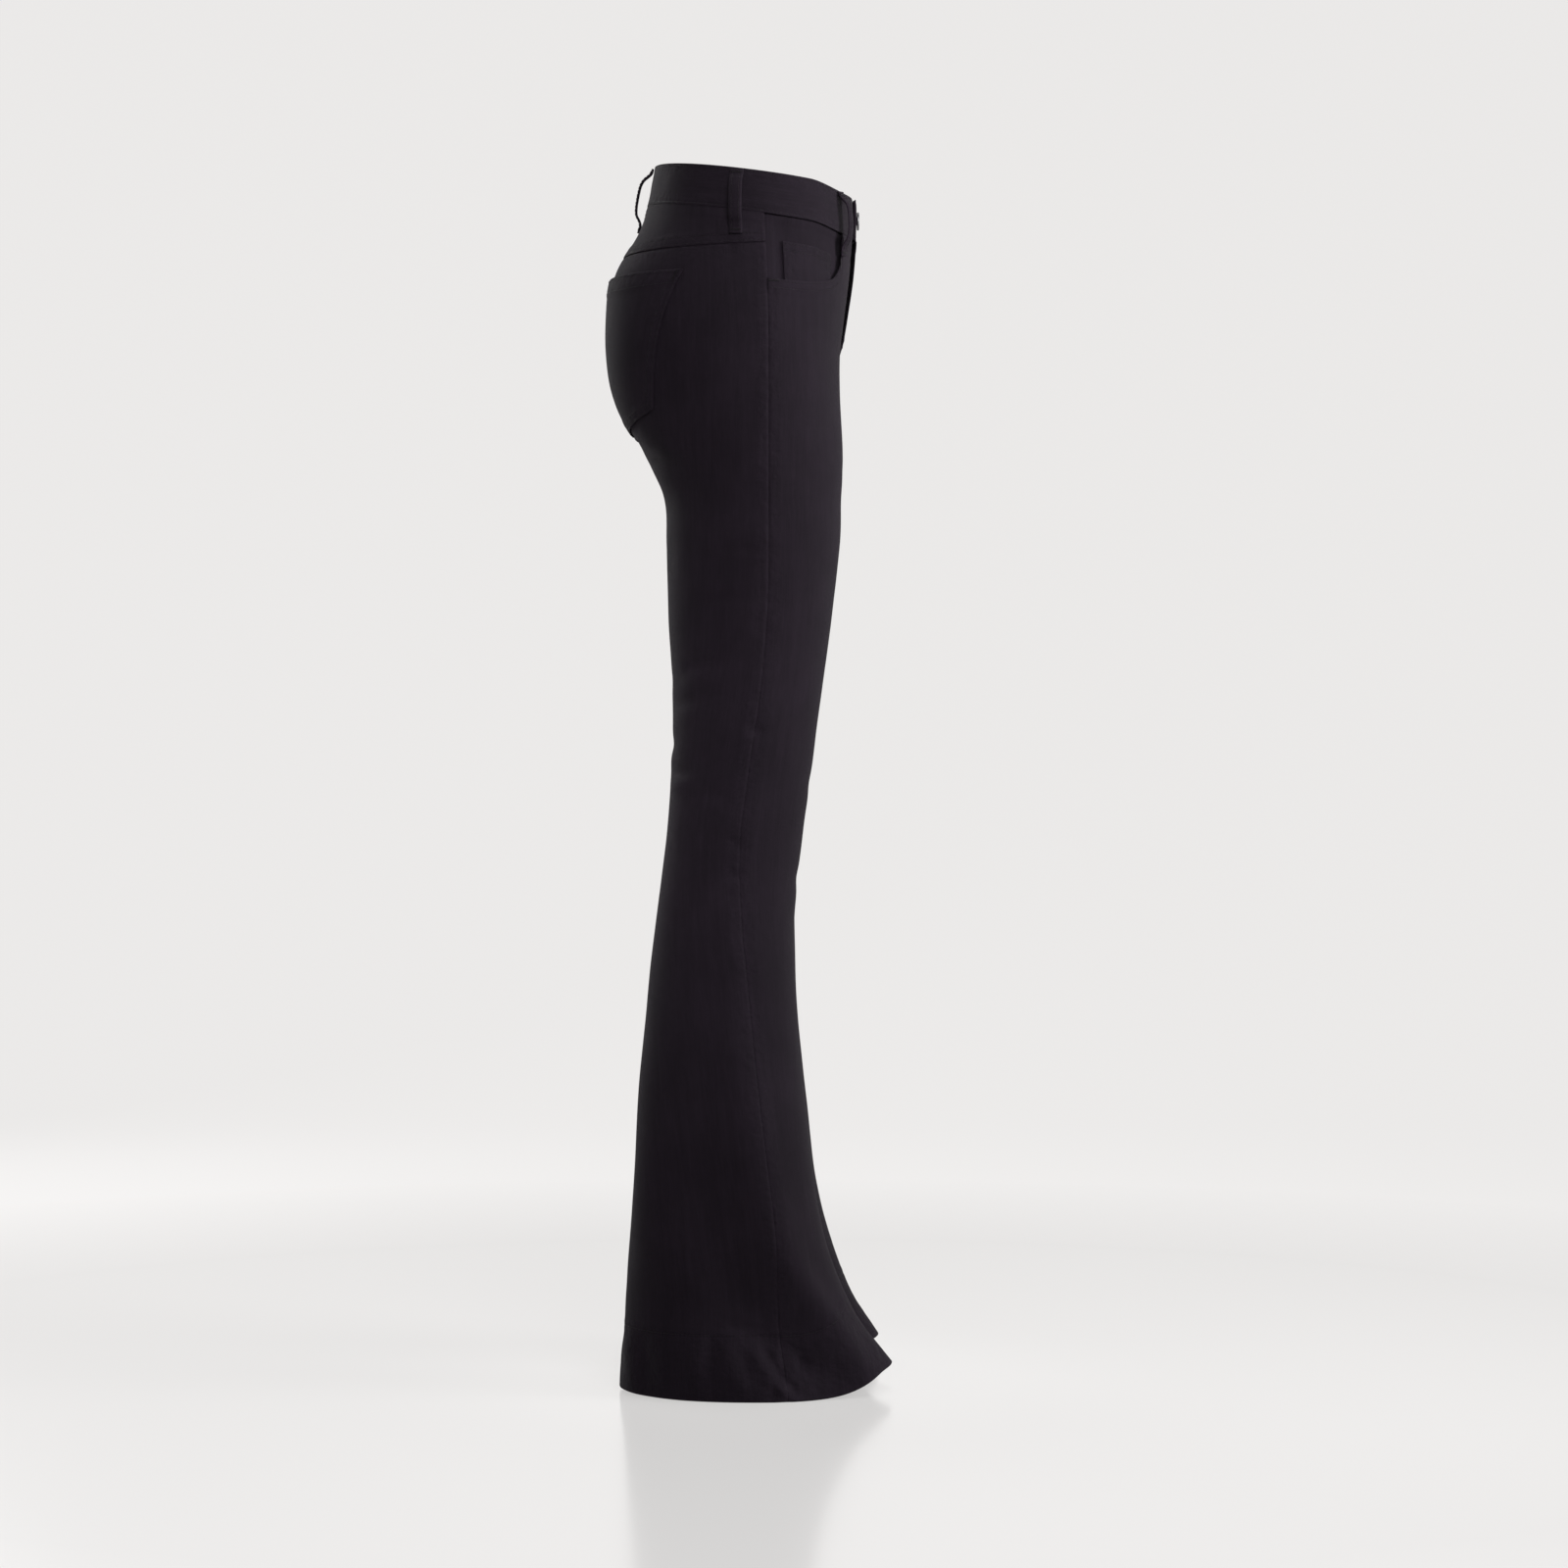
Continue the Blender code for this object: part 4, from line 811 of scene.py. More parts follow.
class Nodes:
    """Short ways to add and join shader nodes in one tree."""

    def __init__(self, tree):
        self.tree = tree

    def feed(self, node, inputs):
        """Sets a node's inputs, by name or number, each to a value or to the socket that it is joined to."""
        for name, value in inputs.items():
            if isinstance(value, bpy.types.NodeSocket):
                self.tree.links.new(value, node.inputs[name])
            else:
                node.inputs[name].default_value = value

    def add(self, kind, inputs=None, **settings):
        node = self.tree.nodes.new(kind)
        for name, value in settings.items():
            setattr(node, name, value)
        self.feed(node, inputs or {})
        return node

    def math(self, operation, *values):
        return self.add("ShaderNodeMath", dict(enumerate(values)), operation=operation).outputs[0]

    def centred(self, value):
        return self.math("SUBTRACT", value, 0.5)

    def layered(self, base, *layers):
        """A base value with layers over it, each with its strength."""
        for value, strength in layers:
            base = self.math("MULTIPLY_ADD", value, strength, base)
        return base

    def mix(self, share, first, second):
        return self.add("ShaderNodeMix", {0: share, 6: first, 7: second}, data_type="RGBA").outputs[2]

    def choose(self, share, first, second):
        return self.add("ShaderNodeMixShader", {0: share, 1: first, 2: second}).outputs[0]

    def stretch(self, vector, scale):
        return self.add("ShaderNodeVectorMath", {0: vector, 1: scale}, operation="MULTIPLY").outputs[0]

    def noise(self, vector, scale, detail=2.0, roughness=0.5):
        inputs = {"Vector": vector, "Scale": scale, "Detail": detail, "Roughness": roughness}
        return self.add("ShaderNodeTexNoise", inputs).outputs["Fac"]

    def range(self, value, low, high, new_low=0.0, new_high=1.0):
        inputs = dict(enumerate((value, low, high, new_low, new_high)))
        return self.add("ShaderNodeMapRange", inputs).outputs[0]

    def bands(self, direction, scale, **more):
        """Even bands across an object."""
        inputs = {"Vector": self.add("ShaderNodeTexCoord").outputs["Object"], "Scale": scale, **more}
        wave = self.add("ShaderNodeTexWave", inputs, wave_type="BANDS", bands_direction=direction)
        return wave.outputs["Fac"]

    def bump(self, height, distance, **more):
        return self.add("ShaderNodeBump", {"Height": height, "Distance": distance, **more}).outputs["Normal"]


def shared_group(name, inputs, outputs):
    """A node group with named sockets, each with its kind and default: its nodes, inputs and end node."""
    group = bpy.data.node_groups.new(name, "ShaderNodeTree")
    for in_out, sockets in (("INPUT", inputs), ("OUTPUT", outputs)):
        for socket, (kind, default) in sockets.items():
            item = group.interface.new_socket(name=socket, in_out=in_out, socket_type=f"NodeSocket{kind}")
            if default is not None:
                item.default_value = default
    n = Nodes(group)
    return n, n.add("NodeGroupInput").outputs, n.add("NodeGroupOutput")


def twill_group():
    """The weave: diagonal ribs of warp over weft, slubs along the warp, and pale weft where it is worn."""
    inputs = {
        "Vector": ("Vector", None),
        "Ribs per Metre": ("Float", 1100.0),
        "Wear": ("Float", 0.0),
        "Dark": ("Color", (0.01, 0.01, 0.01, 1)),
        "Light": ("Color", (0.03, 0.03, 0.03, 1)),
    }
    outputs = {"Colour": ("Color", None), "Roughness": ("Float", None), "Height": ("Float", None)}
    n, given, made = shared_group("Denim Twill", inputs, outputs)
    vector, ribs = given["Vector"], given["Ribs per Metre"]
    across, along, _ = n.add("ShaderNodeSeparateXYZ", {0: vector}).outputs
    warble = n.math("MULTIPLY", n.centred(n.noise(vector, 160.0)), 0.0011)
    diagonal = n.math("ADD", n.math("ADD", n.math("MULTIPLY", along, 0.62), across), warble)
    rib, warp = (
        n.math("SINE", n.math("MULTIPLY", n.math("MULTIPLY", direction, ribs), 2 * math.pi * turns))
        for direction, turns in ((diagonal, 0.85), (across, 1.7))
    )
    slub = n.noise(n.stretch(vector, (900.0, 45.0, 1.0)), 1.0, 3.0, 0.6)
    streak = n.noise(n.stretch(vector, (160.0, 9.0, 1.0)), 1.0, 3.0, 0.55)
    cloud = n.noise(vector, 16.0, 4.0, 0.55)
    fleck = n.noise(vector, 1500.0, 2.0, 0.6)
    worn = n.math("MULTIPLY", given["Wear"], n.range(n.noise(vector, 420.0, 3.0, 0.65), 0.30, 0.70))
    spots = ((slub, 0.55), (streak, 0.36), (cloud, 0.55), (fleck, 0.35))
    uneven = [(n.centred(spot), strength) for spot, strength in spots]
    tone = n.add("ShaderNodeClamp", {0: n.layered(0.20, (rib, 0.11), (warp, 0.04), *uneven, (worn, 0.55))})
    relief = ((rib, 0.30), (warp, 0.10), (n.centred(slub), 0.9), (n.centred(fleck), 0.5))
    results = {
        "Colour": n.mix(tone.outputs[0], given["Dark"], given["Light"]),
        "Roughness": n.layered(0.80, (n.centred(slub), 0.16)),
        "Height": n.layered(0.5, *relief),
    }
    n.feed(made, results)


def pucker_group():
    """Small ripples across a seam, as a height that fades with the seam's mask."""
    inputs = {"Vector": ("Vector", None), "Seam": ("Float", 0.0), "Ripples per Metre": ("Float", 150.0)}
    n, given, made = shared_group("Seam Pucker", inputs, {"Height": ("Float", None)})
    wave = n.noise(given["Vector"], given["Ripples per Metre"])
    n.feed(made, {"Height": n.math("MULTIPLY", n.centred(wave), given["Seam"])})


def principled(name, inputs=None):
    finish = bpy.data.materials.new(name)
    finish.use_nodes = True
    n = Nodes(finish.node_tree)
    shader = finish.node_tree.nodes["Principled BSDF"]
    n.feed(shader, inputs or {})
    return finish, n, shader


def denim(name, dark, light, sheen):
    """Woven denim from the two shared groups, with the fuzz of its nap as sheen."""
    nap = {"Sheen Weight": sheen, "Sheen Roughness": 0.55, "Sheen Tint": (0.82, 0.80, 0.86, 1)}
    finish, n, shader = principled(name, {"Specular IOR Level": 0.10, **nap})
    place = n.add("ShaderNodeUVMap", uv_map="Weave").outputs[0]
    masks = [n.add("ShaderNodeAttribute", attribute_name=name) for name in ("wear", "seam")]
    wear, seam = (mask.outputs["Fac"] for mask in masks)
    given = {"Vector": place, "Wear": wear, "Dark": (*dark, 1), "Light": (*light, 1)}
    twill = n.add("ShaderNodeGroup", given, node_tree=bpy.data.node_groups["Denim Twill"]).outputs
    given = {"Vector": place, "Seam": seam}
    pucker = n.add("ShaderNodeGroup", given, node_tree=bpy.data.node_groups["Seam Pucker"]).outputs
    coarse = n.bump(pucker["Height"], 0.0016, Strength=0.8)
    fine = n.bump(twill["Height"], 0.00022, Strength=0.75, Normal=coarse)
    n.feed(shader, {"Base Color": twill["Colour"], "Roughness": twill["Roughness"], "Normal": fine})
    return finish


def patterned(nodes, shader, crest, share, colour, paler, rough, relief):
    """Colour, gloss and bump from one pattern, whose crests are so many times paler."""
    pale = [min(1.0, c * paler) for c in colour]
    inputs = {
        "Base Color": nodes.mix(share, (*colour, 1), (*pale, 1)),
        "Roughness": nodes.range(crest, *rough),
        "Normal": nodes.bump(crest, relief),
    }
    nodes.feed(shader, inputs)


def twisted_thread(name, colour):
    """Sewing thread: a fine twist along it and a soft gloss."""
    finish, n, shader = principled(name, {"Specular IOR Level": 0.12})
    twist = n.bands("DIAGONAL", 900.0, Distortion=2.0)
    patterned(n, shader, twist, twist, colour, 1.7, (0, 1, 0.42, 0.58), 0.0001)
    return finish


def woven_tape(name, colour):
    """Zip tape: fine ribs across it."""
    finish, n, shader = principled(name)
    rib = n.bands("Z", 260.0)
    patterned(n, shader, rib, rib, colour, 1.8, (0, 1, 0.75, 0.9), 0.0002)
    return finish


def worn_metal(name, colour):
    """Dark plated metal, brushed and rubbed."""
    finish, n, shader = principled(name, {"Metallic": 1.0})
    rubbed = n.noise(n.add("ShaderNodeTexCoord").outputs["Object"], 420.0, 4.0, 0.6)
    pale_share = n.range(rubbed, 0.45, 0.75)
    patterned(n, shader, rubbed, pale_share, colour, 1.9, (0.3, 0.7, 0.24, 0.42), 0.00006)
    return finish


FINISHES = {}


def make_finishes():
    twill_group()
    pucker_group()
    c = bpy.context.scene.jeans_colours
    FINISHES["denim"] = denim("Black Denim", c.denim_dark, c.denim_light, sheen=0.03)
    FINISHES["facing"] = denim("Facing Denim", c.denim_dark, c.denim_light, sheen=0.02)
    FINISHES["hem"] = denim("Hem Denim", c.denim_dark, c.denim_light, sheen=0.04)
    FINISHES["thread"] = twisted_thread("Topstitch Thread", c.thread)
    FINISHES["tape"] = woven_tape("Zip Tape", c.tape)
    FINISHES["metal"] = worn_metal("Gunmetal", c.metal)


# ---------------------------------------------------------------- stitching


class Stitching:
    """Collects rows of stitches and makes them one joined mesh."""

    SIDES = 6
    TIP = 0.46
    # The rings of a stitch, each with its place along it and its radius and lift in threads
    RINGS = ((-TIP, 0.55, -0.45), (-0.34, 0.95, 0.25), (0.34, 0.95, 0.25), (TIP, 0.55, -0.45))

    def __init__(self, name):
        self.name = name
        self.points, self.faces = [], []
        self.count = 0

    def along(self, points, normals):
        """A row of stitches along a line of close points."""
        pitch, gap = cut().stitch_pitch, cut().stitch_gap
        run = np.concatenate([[0], np.cumsum(np.linalg.norm(np.diff(points, axis=0), axis=1))])
        stitches = int(run[-1] / pitch)
        if stitches < 1:
            return
        middle = (np.arange(stitches) + 0.5) * (run[-1] / stitches)
        self.bars(
            self.between(run, points, middle - pitch / 2 + gap / 2),
            self.between(run, points, middle + pitch / 2 - gap / 2),
            self.between(run, normals / np.linalg.norm(normals, axis=1)[:, None], middle),
            cut().thread,
        )

    @staticmethod
    def between(run, values, at):
        return np.column_stack([np.interp(at, run, values[:, k]) for k in range(3)])

    def bars(self, start, end, normal, thread):
        """One stitch from each start to its end, sunk into the cloth at both."""
        axis = end - start
        middle = (start + end) / 2
        normal = normal - axis * ((normal * axis).sum(1) / (axis * axis).sum(1))[:, None]
        normal /= np.linalg.norm(normal, axis=1)[:, None]
        across = np.cross(axis, normal)
        across /= np.linalg.norm(across, axis=1)[:, None]
        angle = np.arange(self.SIDES) * 2 * math.pi / self.SIDES
        rings = []
        for at, radius, lift in self.RINGS:
            centre = middle + axis * (at / self.TIP * 0.5) + normal * (lift * thread * 0.7)
            for a in angle:
                rings.append(centre + (across * math.cos(a) + normal * math.sin(a)) * (radius * thread / 2))
        points = np.stack(rings, axis=1)
        self.points.append(points.reshape(-1, 3))
        n, rows = self.SIDES, len(self.RINGS)
        local = []
        for r in range(rows - 1):
            for k in range(n):
                a, b = r * n + k, r * n + (k + 1) % n
                local.append((a, b, b + n, a + n))
        ends = [tuple(range(n))[::-1], tuple(range((rows - 1) * n, rows * n))]
        for i in range(len(points)):
            shift = self.count + i * rows * n
            self.faces += [tuple(v + shift for v in face) for face in local + ends]
        self.count += len(points) * rows * n

    def on(self, place, s, z):
        """A row of stitches on a piece, along a line of close s and z. place(s, z, out) gives its points."""
        points = place(s, z, 0.0)
        self.along(points, place(s, z, 0.001) - points)

    def piece(self):
        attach(add_mesh(self.name, np.concatenate(self.points), self.faces, "thread"), "root")


def offset_line(u, z, distance):
    """The line that runs beside another in the flat cloth, to its right as one goes along it."""
    du, dz = np.gradient(u), np.gradient(z)
    length = np.hypot(du, dz)
    return u + dz / length * distance, z - du / length * distance


# ---------------------------------------------------------------- the panels


def above_fly_end(z):
    """0 under the fly's foot and 1 over it."""
    return smoothstep(FLY_END_LEVEL - 0.024, FLY_END_LEVEL + 0.004, z)


def below_fork(z):
    """0 on the torso and 1 on the leg, where the centre seam has become the inseam."""
    return smoothstep(FORK_LEVEL - 0.004, FORK_LEVEL - 0.012, z)


def centre_seam(side, d, z):
    """The centre seam, where the left side laps over the right one."""
    return felled_seam(d, z) if side == LEFT else under_seam(d)


def fly_lift(across, z):
    """How far the left front's edge stands over the right front along the fly."""
    return FLY_LIFT * (1 - smoothstep(0.010, FLY_WIDTH, across)) * above_fly_end(z)


def fly_line(z):
    """How far from the centre the fly's stitching runs at each level, curving in to the seam at its foot."""
    rise = np.clip((z - FLY_END_LEVEL) / FLY_CURVE, 0, 1)
    return FLY_ROW * np.sqrt(np.clip(1 - (1 - rise) ** 2, 0, 1))


def scoop_distance(u, z):
    """How far a point of the front lies under its upper edge, in the flat cloth."""
    s = np.linspace(0, 1, 160)
    level = scoop_edge(s)
    edge_u = (s - 1) * front_girth(level)
    near = z > -0.160
    out = np.full(u.shape, 0.2)
    d = np.hypot(u[near][:, None] - edge_u[None, :], z[near][:, None] - level[None, :])
    out[near] = d.min(1)
    return out


def front_relief(side, s, z):
    """The seams, fly and pocket mouth of a front, as a height over the folded cloth."""
    girth = front_girth(z)
    u = (s - 1) * girth
    inner, outer = s * girth, -u
    under_top = scoop_distance(u, z)
    height = pressed_seam(outer, z)
    leg = below_fork(z)
    height += leg * felled_seam(inner, z)
    rise = (1 - leg) * (1 - above_fly_end(z))
    height += rise * centre_seam(side, inner, z)
    mouth = smoothstep(SCOOP_WIDTH + 0.012, SCOOP_WIDTH + 0.002, outer)
    height += mouth * (0.0008 * (1 - smoothstep(0.010, 0.0125, under_top)) + turned_edge(under_top))
    height -= mouth * ROW_DEPTH * two_rows(under_top)
    height += (1 - mouth) * 0.0004 * (1 - smoothstep(0.008, 0.012, under_top))
    if side == LEFT:
        height += fly_lift(inner, z)
        inside = 1 - smoothstep(fly_line(z) - 0.001, fly_line(z) + 0.002, inner)
        height += 0.0005 * inside * smoothstep(FLY_END_LEVEL, FLY_END_LEVEL + 0.006, z)
        height += above_fly_end(z) * turned_edge(inner + FLY_LAP)
    return height + hem_relief(side, s, z)


def hem_relief(side, s, z):
    """The hem's doubled cloth, its stitched line, and the slanting ripples between that and the edge."""
    pucker = cut().pucker
    above = z - hem_edge(s)
    u = from_side_seam(s, z)
    band = 1 - smoothstep(HEM_DEPTH - 0.002, HEM_DEPTH + 0.003, above)
    slant = u + 0.55 * above
    strength = 0.45 + 0.35 * soft_noise(u / 0.035 + 3 * side, above * 0, 31) + 1.3 * bell(u - 0.004, 0.022)
    ripple = soft_noise(slant / 0.0095 + 11 * side, above / 0.034, 32)
    middle = smoothstep(0.0, 0.010, above) * smoothstep(HEM_DEPTH, HEM_DEPTH - 0.020, above)
    height = 0.0004 * band - 0.0004 * bell(above - HEM_ROW, 0.0012)
    height += pucker * 0.00075 * strength * ripple * (0.35 + 0.65 * middle) * band
    return height + turned_edge(above)


def seam_mask(*distances):
    nearest = np.minimum.reduce(distances)
    return 1 - smoothstep(0.006, 0.018, nearest)


def worn_mask(base, *distances):
    """Pale wear on the very edges, over a base of wear."""
    nearest = np.minimum.reduce(distances)
    return bell(nearest - 0.0010, 0.0014) * 0.30 + base


def hem_mask(above):
    """The band of doubled cloth at the hem, for the puckers."""
    return 1 - smoothstep(0.055, 0.075, above)


def on_cloth(relief, side):
    """Returns place(s, z, out), which puts points on a panel by its relief."""

    def place(s, z, out=0.0):
        s, z = np.asarray(s, float), np.asarray(z, float)
        return cloth_points(side, s, z, relief(side, s, z) + out)

    return place


def front_grid(side):
    step = cut().step
    places = stops(FRONT_REFERENCE, step)
    share = places / FRONT_REFERENCE
    top = scoop_edge(share) - SEAM_GAP
    straight = [at_centre + (at_side - at_centre) * share for at_side, at_centre in FRONT_HIP_ROWS]
    fade = np.linspace(1, 0, len(FRONT_HIP_ROWS))
    hips = [line + keep * (top - straight[0]) for line, keep in zip(straight, fade)]
    coarse = leg_levels(hips, 1 - share, hem_edge(share))
    z = through_fork(rows_between(coarse, step, last_step=step * 0.7), 0)
    for _ in range(2):
        girth = front_girth(z)
        s = (SEAM_GAP / 2 + fitted(places, FRONT_REFERENCE, girth - SEAM_GAP)) / girth
        correction = scoop_edge(s[0]) - SEAM_GAP - z[0]
        near_top = smoothstep(-0.060, 0.0, z - z[0])
        z = z + near_top * correction[None, :]
        floor = hem_edge(s[-1]) - z[-1]
        z = z + smoothstep(0.20, 0.0, z - z[-1]) * floor[None, :]
    if side == LEFT:
        lap = FLY_LAP * smoothstep(0.62, 0.95, above_fly_end(z)) * (1 - smoothstep(0, 0.25, share))[None, :]
        s = s - lap / girth
    return s, z


def make_front(side):
    s, z = front_grid(side)
    girth = front_girth(z)
    u, above = (s - 1) * girth, z - hem_edge(s)
    inner = np.abs(s * girth)
    seam = np.maximum(seam_mask(inner, -u), hem_mask(above))
    wear = worn_mask(0.5 * bell(above, 0.002), inner, -u, scoop_distance(u, z))
    points = on_cloth(front_relief, side)(s, z)
    return cloth_piece(f"front_{WORD[side]}", points, u + 3 * side, z, seam, wear, flip=side > 0)


def back_relief(side, s, z):
    girth = back_girth(z)
    outer, inner = (s - 1) * girth, (2 - s) * girth
    height = pressed_seam(outer, z)
    leg = below_fork(z)
    height += leg * under_seam(inner)
    height += (1 - leg) * centre_seam(side, inner, z)
    height += under_seam(yoke_edge(s) - z)
    return height + hem_relief(side, s, z)


def back_grid():
    step = cut().step
    places = stops(BACK_REFERENCE, step)
    share = places / BACK_REFERENCE
    top = yoke_edge(1 + share) - SEAM_GAP / 2
    hips = [top] + [at_side + (at_centre - at_side) * share for at_side, at_centre in BACK_HIP_ROWS]
    coarse = leg_levels(hips, share, hem_edge(1 + share))
    z = through_fork(rows_between(coarse, step, last_step=step * 0.7), -1)
    for _ in range(2):
        girth = back_girth(z)
        s = 1 + (SEAM_GAP / 2 + fitted(places, BACK_REFERENCE, girth - SEAM_GAP)) / girth
        z = z + smoothstep(0.20, 0.0, z - z[-1]) * (hem_edge(s[-1]) - z[-1])[None, :]
        z = z + smoothstep(-0.03, 0.0, z - z[0]) * (yoke_edge(s[0]) - SEAM_GAP / 2 - z[0])[None, :]
    return s, z


def make_back(side):
    s, z = back_grid()
    girth = back_girth(z)
    outer, inner, above = (s - 1) * girth, (2 - s) * girth, z - hem_edge(s)
    seam = np.maximum(seam_mask(outer, inner, yoke_edge(s) - z), hem_mask(above))
    wear = worn_mask(0.5 * bell(above, 0.002), outer, inner)
    points = on_cloth(back_relief, side)(s, z)
    return cloth_piece(f"back_{WORD[side]}", points, outer + 3 * side, z, seam, wear, flip=side > 0)


def yoke_relief(side, s, z):
    girth = back_girth(z)
    outer, inner = (s - 1) * girth, (2 - s) * girth
    height = pressed_seam(outer, z)
    height += centre_seam(side, inner, z)
    height += felled_seam(z - yoke_edge(s), outer, 0.0006)
    return height + 0.0004 * (1 - smoothstep(0.006, 0.010, waist_edge(s, BAND_HEIGHT) - z))


def make_yoke(side):
    step = cut().step * 0.75
    places = stops(BACK_REFERENCE, step)
    share = places / BACK_REFERENCE
    top = waist_edge(1 + share, BAND_HEIGHT - 0.001)
    bottom = yoke_edge(1 + share) + SEAM_GAP / 2
    z = top + (bottom - top) * (stops(YOKE_HEIGHT, step)[:, None] / YOKE_HEIGHT)
    girth = back_girth(z)
    s = 1 + (SEAM_GAP / 2 + fitted(places, BACK_REFERENCE, girth - SEAM_GAP)) / girth
    edges = (s - 1) * girth, (2 - s) * girth, z - yoke_edge(s)
    points = on_cloth(yoke_relief, side)(s, z)
    u, v = edges[0] + 3 * side + 0.6, z + 0.01
    name = f"yoke_{WORD[side]}"
    return cloth_piece(name, points, u, v, seam_mask(*edges), worn_mask(0, *edges), flip=side > 0)


# ---------------------------------------------------------------- pockets


def facing_depth(s, z, girth):
    """How far the facing lies under the form: one layer at its sewn edges, more where the coin pocket lies."""
    from_seam = smoothstep(0.001, 0.014, (1 - s) * girth)
    from_band = smoothstep(0.001, 0.010, waist_edge(s, BAND_HEIGHT) - z)
    return 0.0015 + 0.0024 * from_seam * from_band


def make_facing(side):
    width = SCOOP_WIDTH + FACING_OVERLAP
    places = stops(width, cut().step * 0.75, start=False)
    top = waist_edge(1 - (width - places) / front_girth(waist_edge(1.0, BAND_HEIGHT)), BAND_HEIGHT - 0.001)
    bottom = scoop_edge(1.0) - FACING_OVERLAP
    z = top + (bottom - top) * np.linspace(0, 1, 34)[:, None]
    girth = front_girth(z)
    s = np.minimum(1 - (width - places)[None, :] / girth, 1 - SEAM_GAP / 2 / girth)
    points = cloth_points(side, s, z, -facing_depth(s, z, girth))
    u, v = (s - 1) * girth + 1.3 * side, z + 0.4
    return cloth_piece(f"pocket_facing_{WORD[side]}", points, u, v, finish="facing", flip=side > 0)


def coin_shape(across, down):
    """The coin pocket's s and level, by distances from its back edge and from its top edge."""
    girth = front_girth(waist_edge(1.0, BAND_HEIGHT + COIN_BELOW_BAND))
    s = 1 - (COIN_FROM_SEAM + COIN_WIDTH - across) / girth
    return s, waist_edge(s, BAND_HEIGHT + COIN_BELOW_BAND) - down


def coin_edge(across, down):
    """The distance to the coin pocket's nearest folded edge."""
    return np.minimum(np.minimum(across, COIN_WIDTH - across), down)


def coin_lift(across, down):
    edge = coin_edge(across, down)
    rows = two_rows(down) + bell(COIN_WIDTH - across - FIRST_ROW, ROW_WIDTH)
    return turned_edge(edge) - 0.00025 * rows


def coin_place(across, down, out=0.0):
    s, z = coin_shape(across, down)
    return cloth_points(RIGHT, s, z, coin_lift(across, down) - COIN_DEPTH + out)


def make_coin_pocket():
    step = cut().step * 0.6
    across, down = np.meshgrid(stops(COIN_WIDTH, step), stops(COIN_HEIGHT, step, end=False))
    _, z = coin_shape(across, down)
    edge = coin_edge(across, down)
    points = coin_place(across, down)
    return cloth_piece("coin_pocket", points, across + 2.2, z + 0.8, seam_mask(edge), worn_mask(0, edge))


def patch_shape(across, down):
    """A back pocket's s and level, by its shares across from outer to inner edge and down to its foot."""
    point = POCKET_POINT * (1 - np.abs(2 * across - 1))
    mouth = YOKE_CENTRE_LEVEL + 0.005 - POCKET_UNDER_YOKE - POCKET_MOUTH_DIP * across
    z = mouth - (POCKET_HEIGHT + point) * down
    girth = back_girth(z)
    v = np.clip((mouth - z) / POCKET_HEIGHT, 0, 1.1)
    narrowing = (POCKET_WIDTH - POCKET_FOOT_WIDTH) / 2 * v
    inner = POCKET_FROM_CENTRE + narrowing
    outer = POCKET_FROM_CENTRE + POCKET_WIDTH - narrowing
    return 2 - (outer + (inner - outer) * across) / girth, z


def patch_lift(across, down):
    """How far a back pocket stands off the back: its cloth, its folded edges, and its mouth a little open."""
    width = POCKET_WIDTH - (POCKET_WIDTH - POCKET_FOOT_WIDTH) * down
    side_edge = np.minimum(across, 1 - across) * width
    foot = (1 - down) * POCKET_HEIGHT
    mouth = down * POCKET_HEIGHT
    edge = np.minimum(side_edge, foot)
    slack = 0.0009 * smoothstep(0.0, 0.020, edge)
    open_mouth = POCKET_LIFT * 0.55 * (1 - smoothstep(0, 0.35, down)) * (1 - (2 * across - 1) ** 2)
    rows = two_rows(edge) + bell(mouth - 0.012, 0.0010)
    fold = 0.0006 * (1 - smoothstep(0.009, 0.012, edge)) + 0.0006 * (1 - smoothstep(0.013, 0.0155, mouth))
    return 0.0013 + slack + open_mouth + fold - ROW_DEPTH * rows + turned_edge(np.minimum(edge, mouth))


def patch_place(side):
    def place(across, down, out=0.0):
        s, z = patch_shape(across, down)
        return cloth_points(side, s, z, patch_lift(across, down) + out)

    return place


def make_back_pocket(side):
    step = cut().step * 0.7
    across, down = np.meshgrid(*(stops(size, step) / size for size in (POCKET_WIDTH, POCKET_HEIGHT)))
    _, z = patch_shape(across, down)
    edge = np.minimum(np.minimum(across, 1 - across) * POCKET_WIDTH, (1 - down) * POCKET_HEIGHT)
    edges = edge, down * POCKET_HEIGHT
    points = patch_place(side)(across, down)
    u, v = -across * POCKET_WIDTH + 1.7 * side, z + 1.1
    name = f"back_pocket_{WORD[side]}"
    return cloth_piece(name, points, u, v, seam_mask(*edges), worn_mask(0, *edges), flip=side > 0)


# ---------------------------------------------------------------- inside edges of the seams


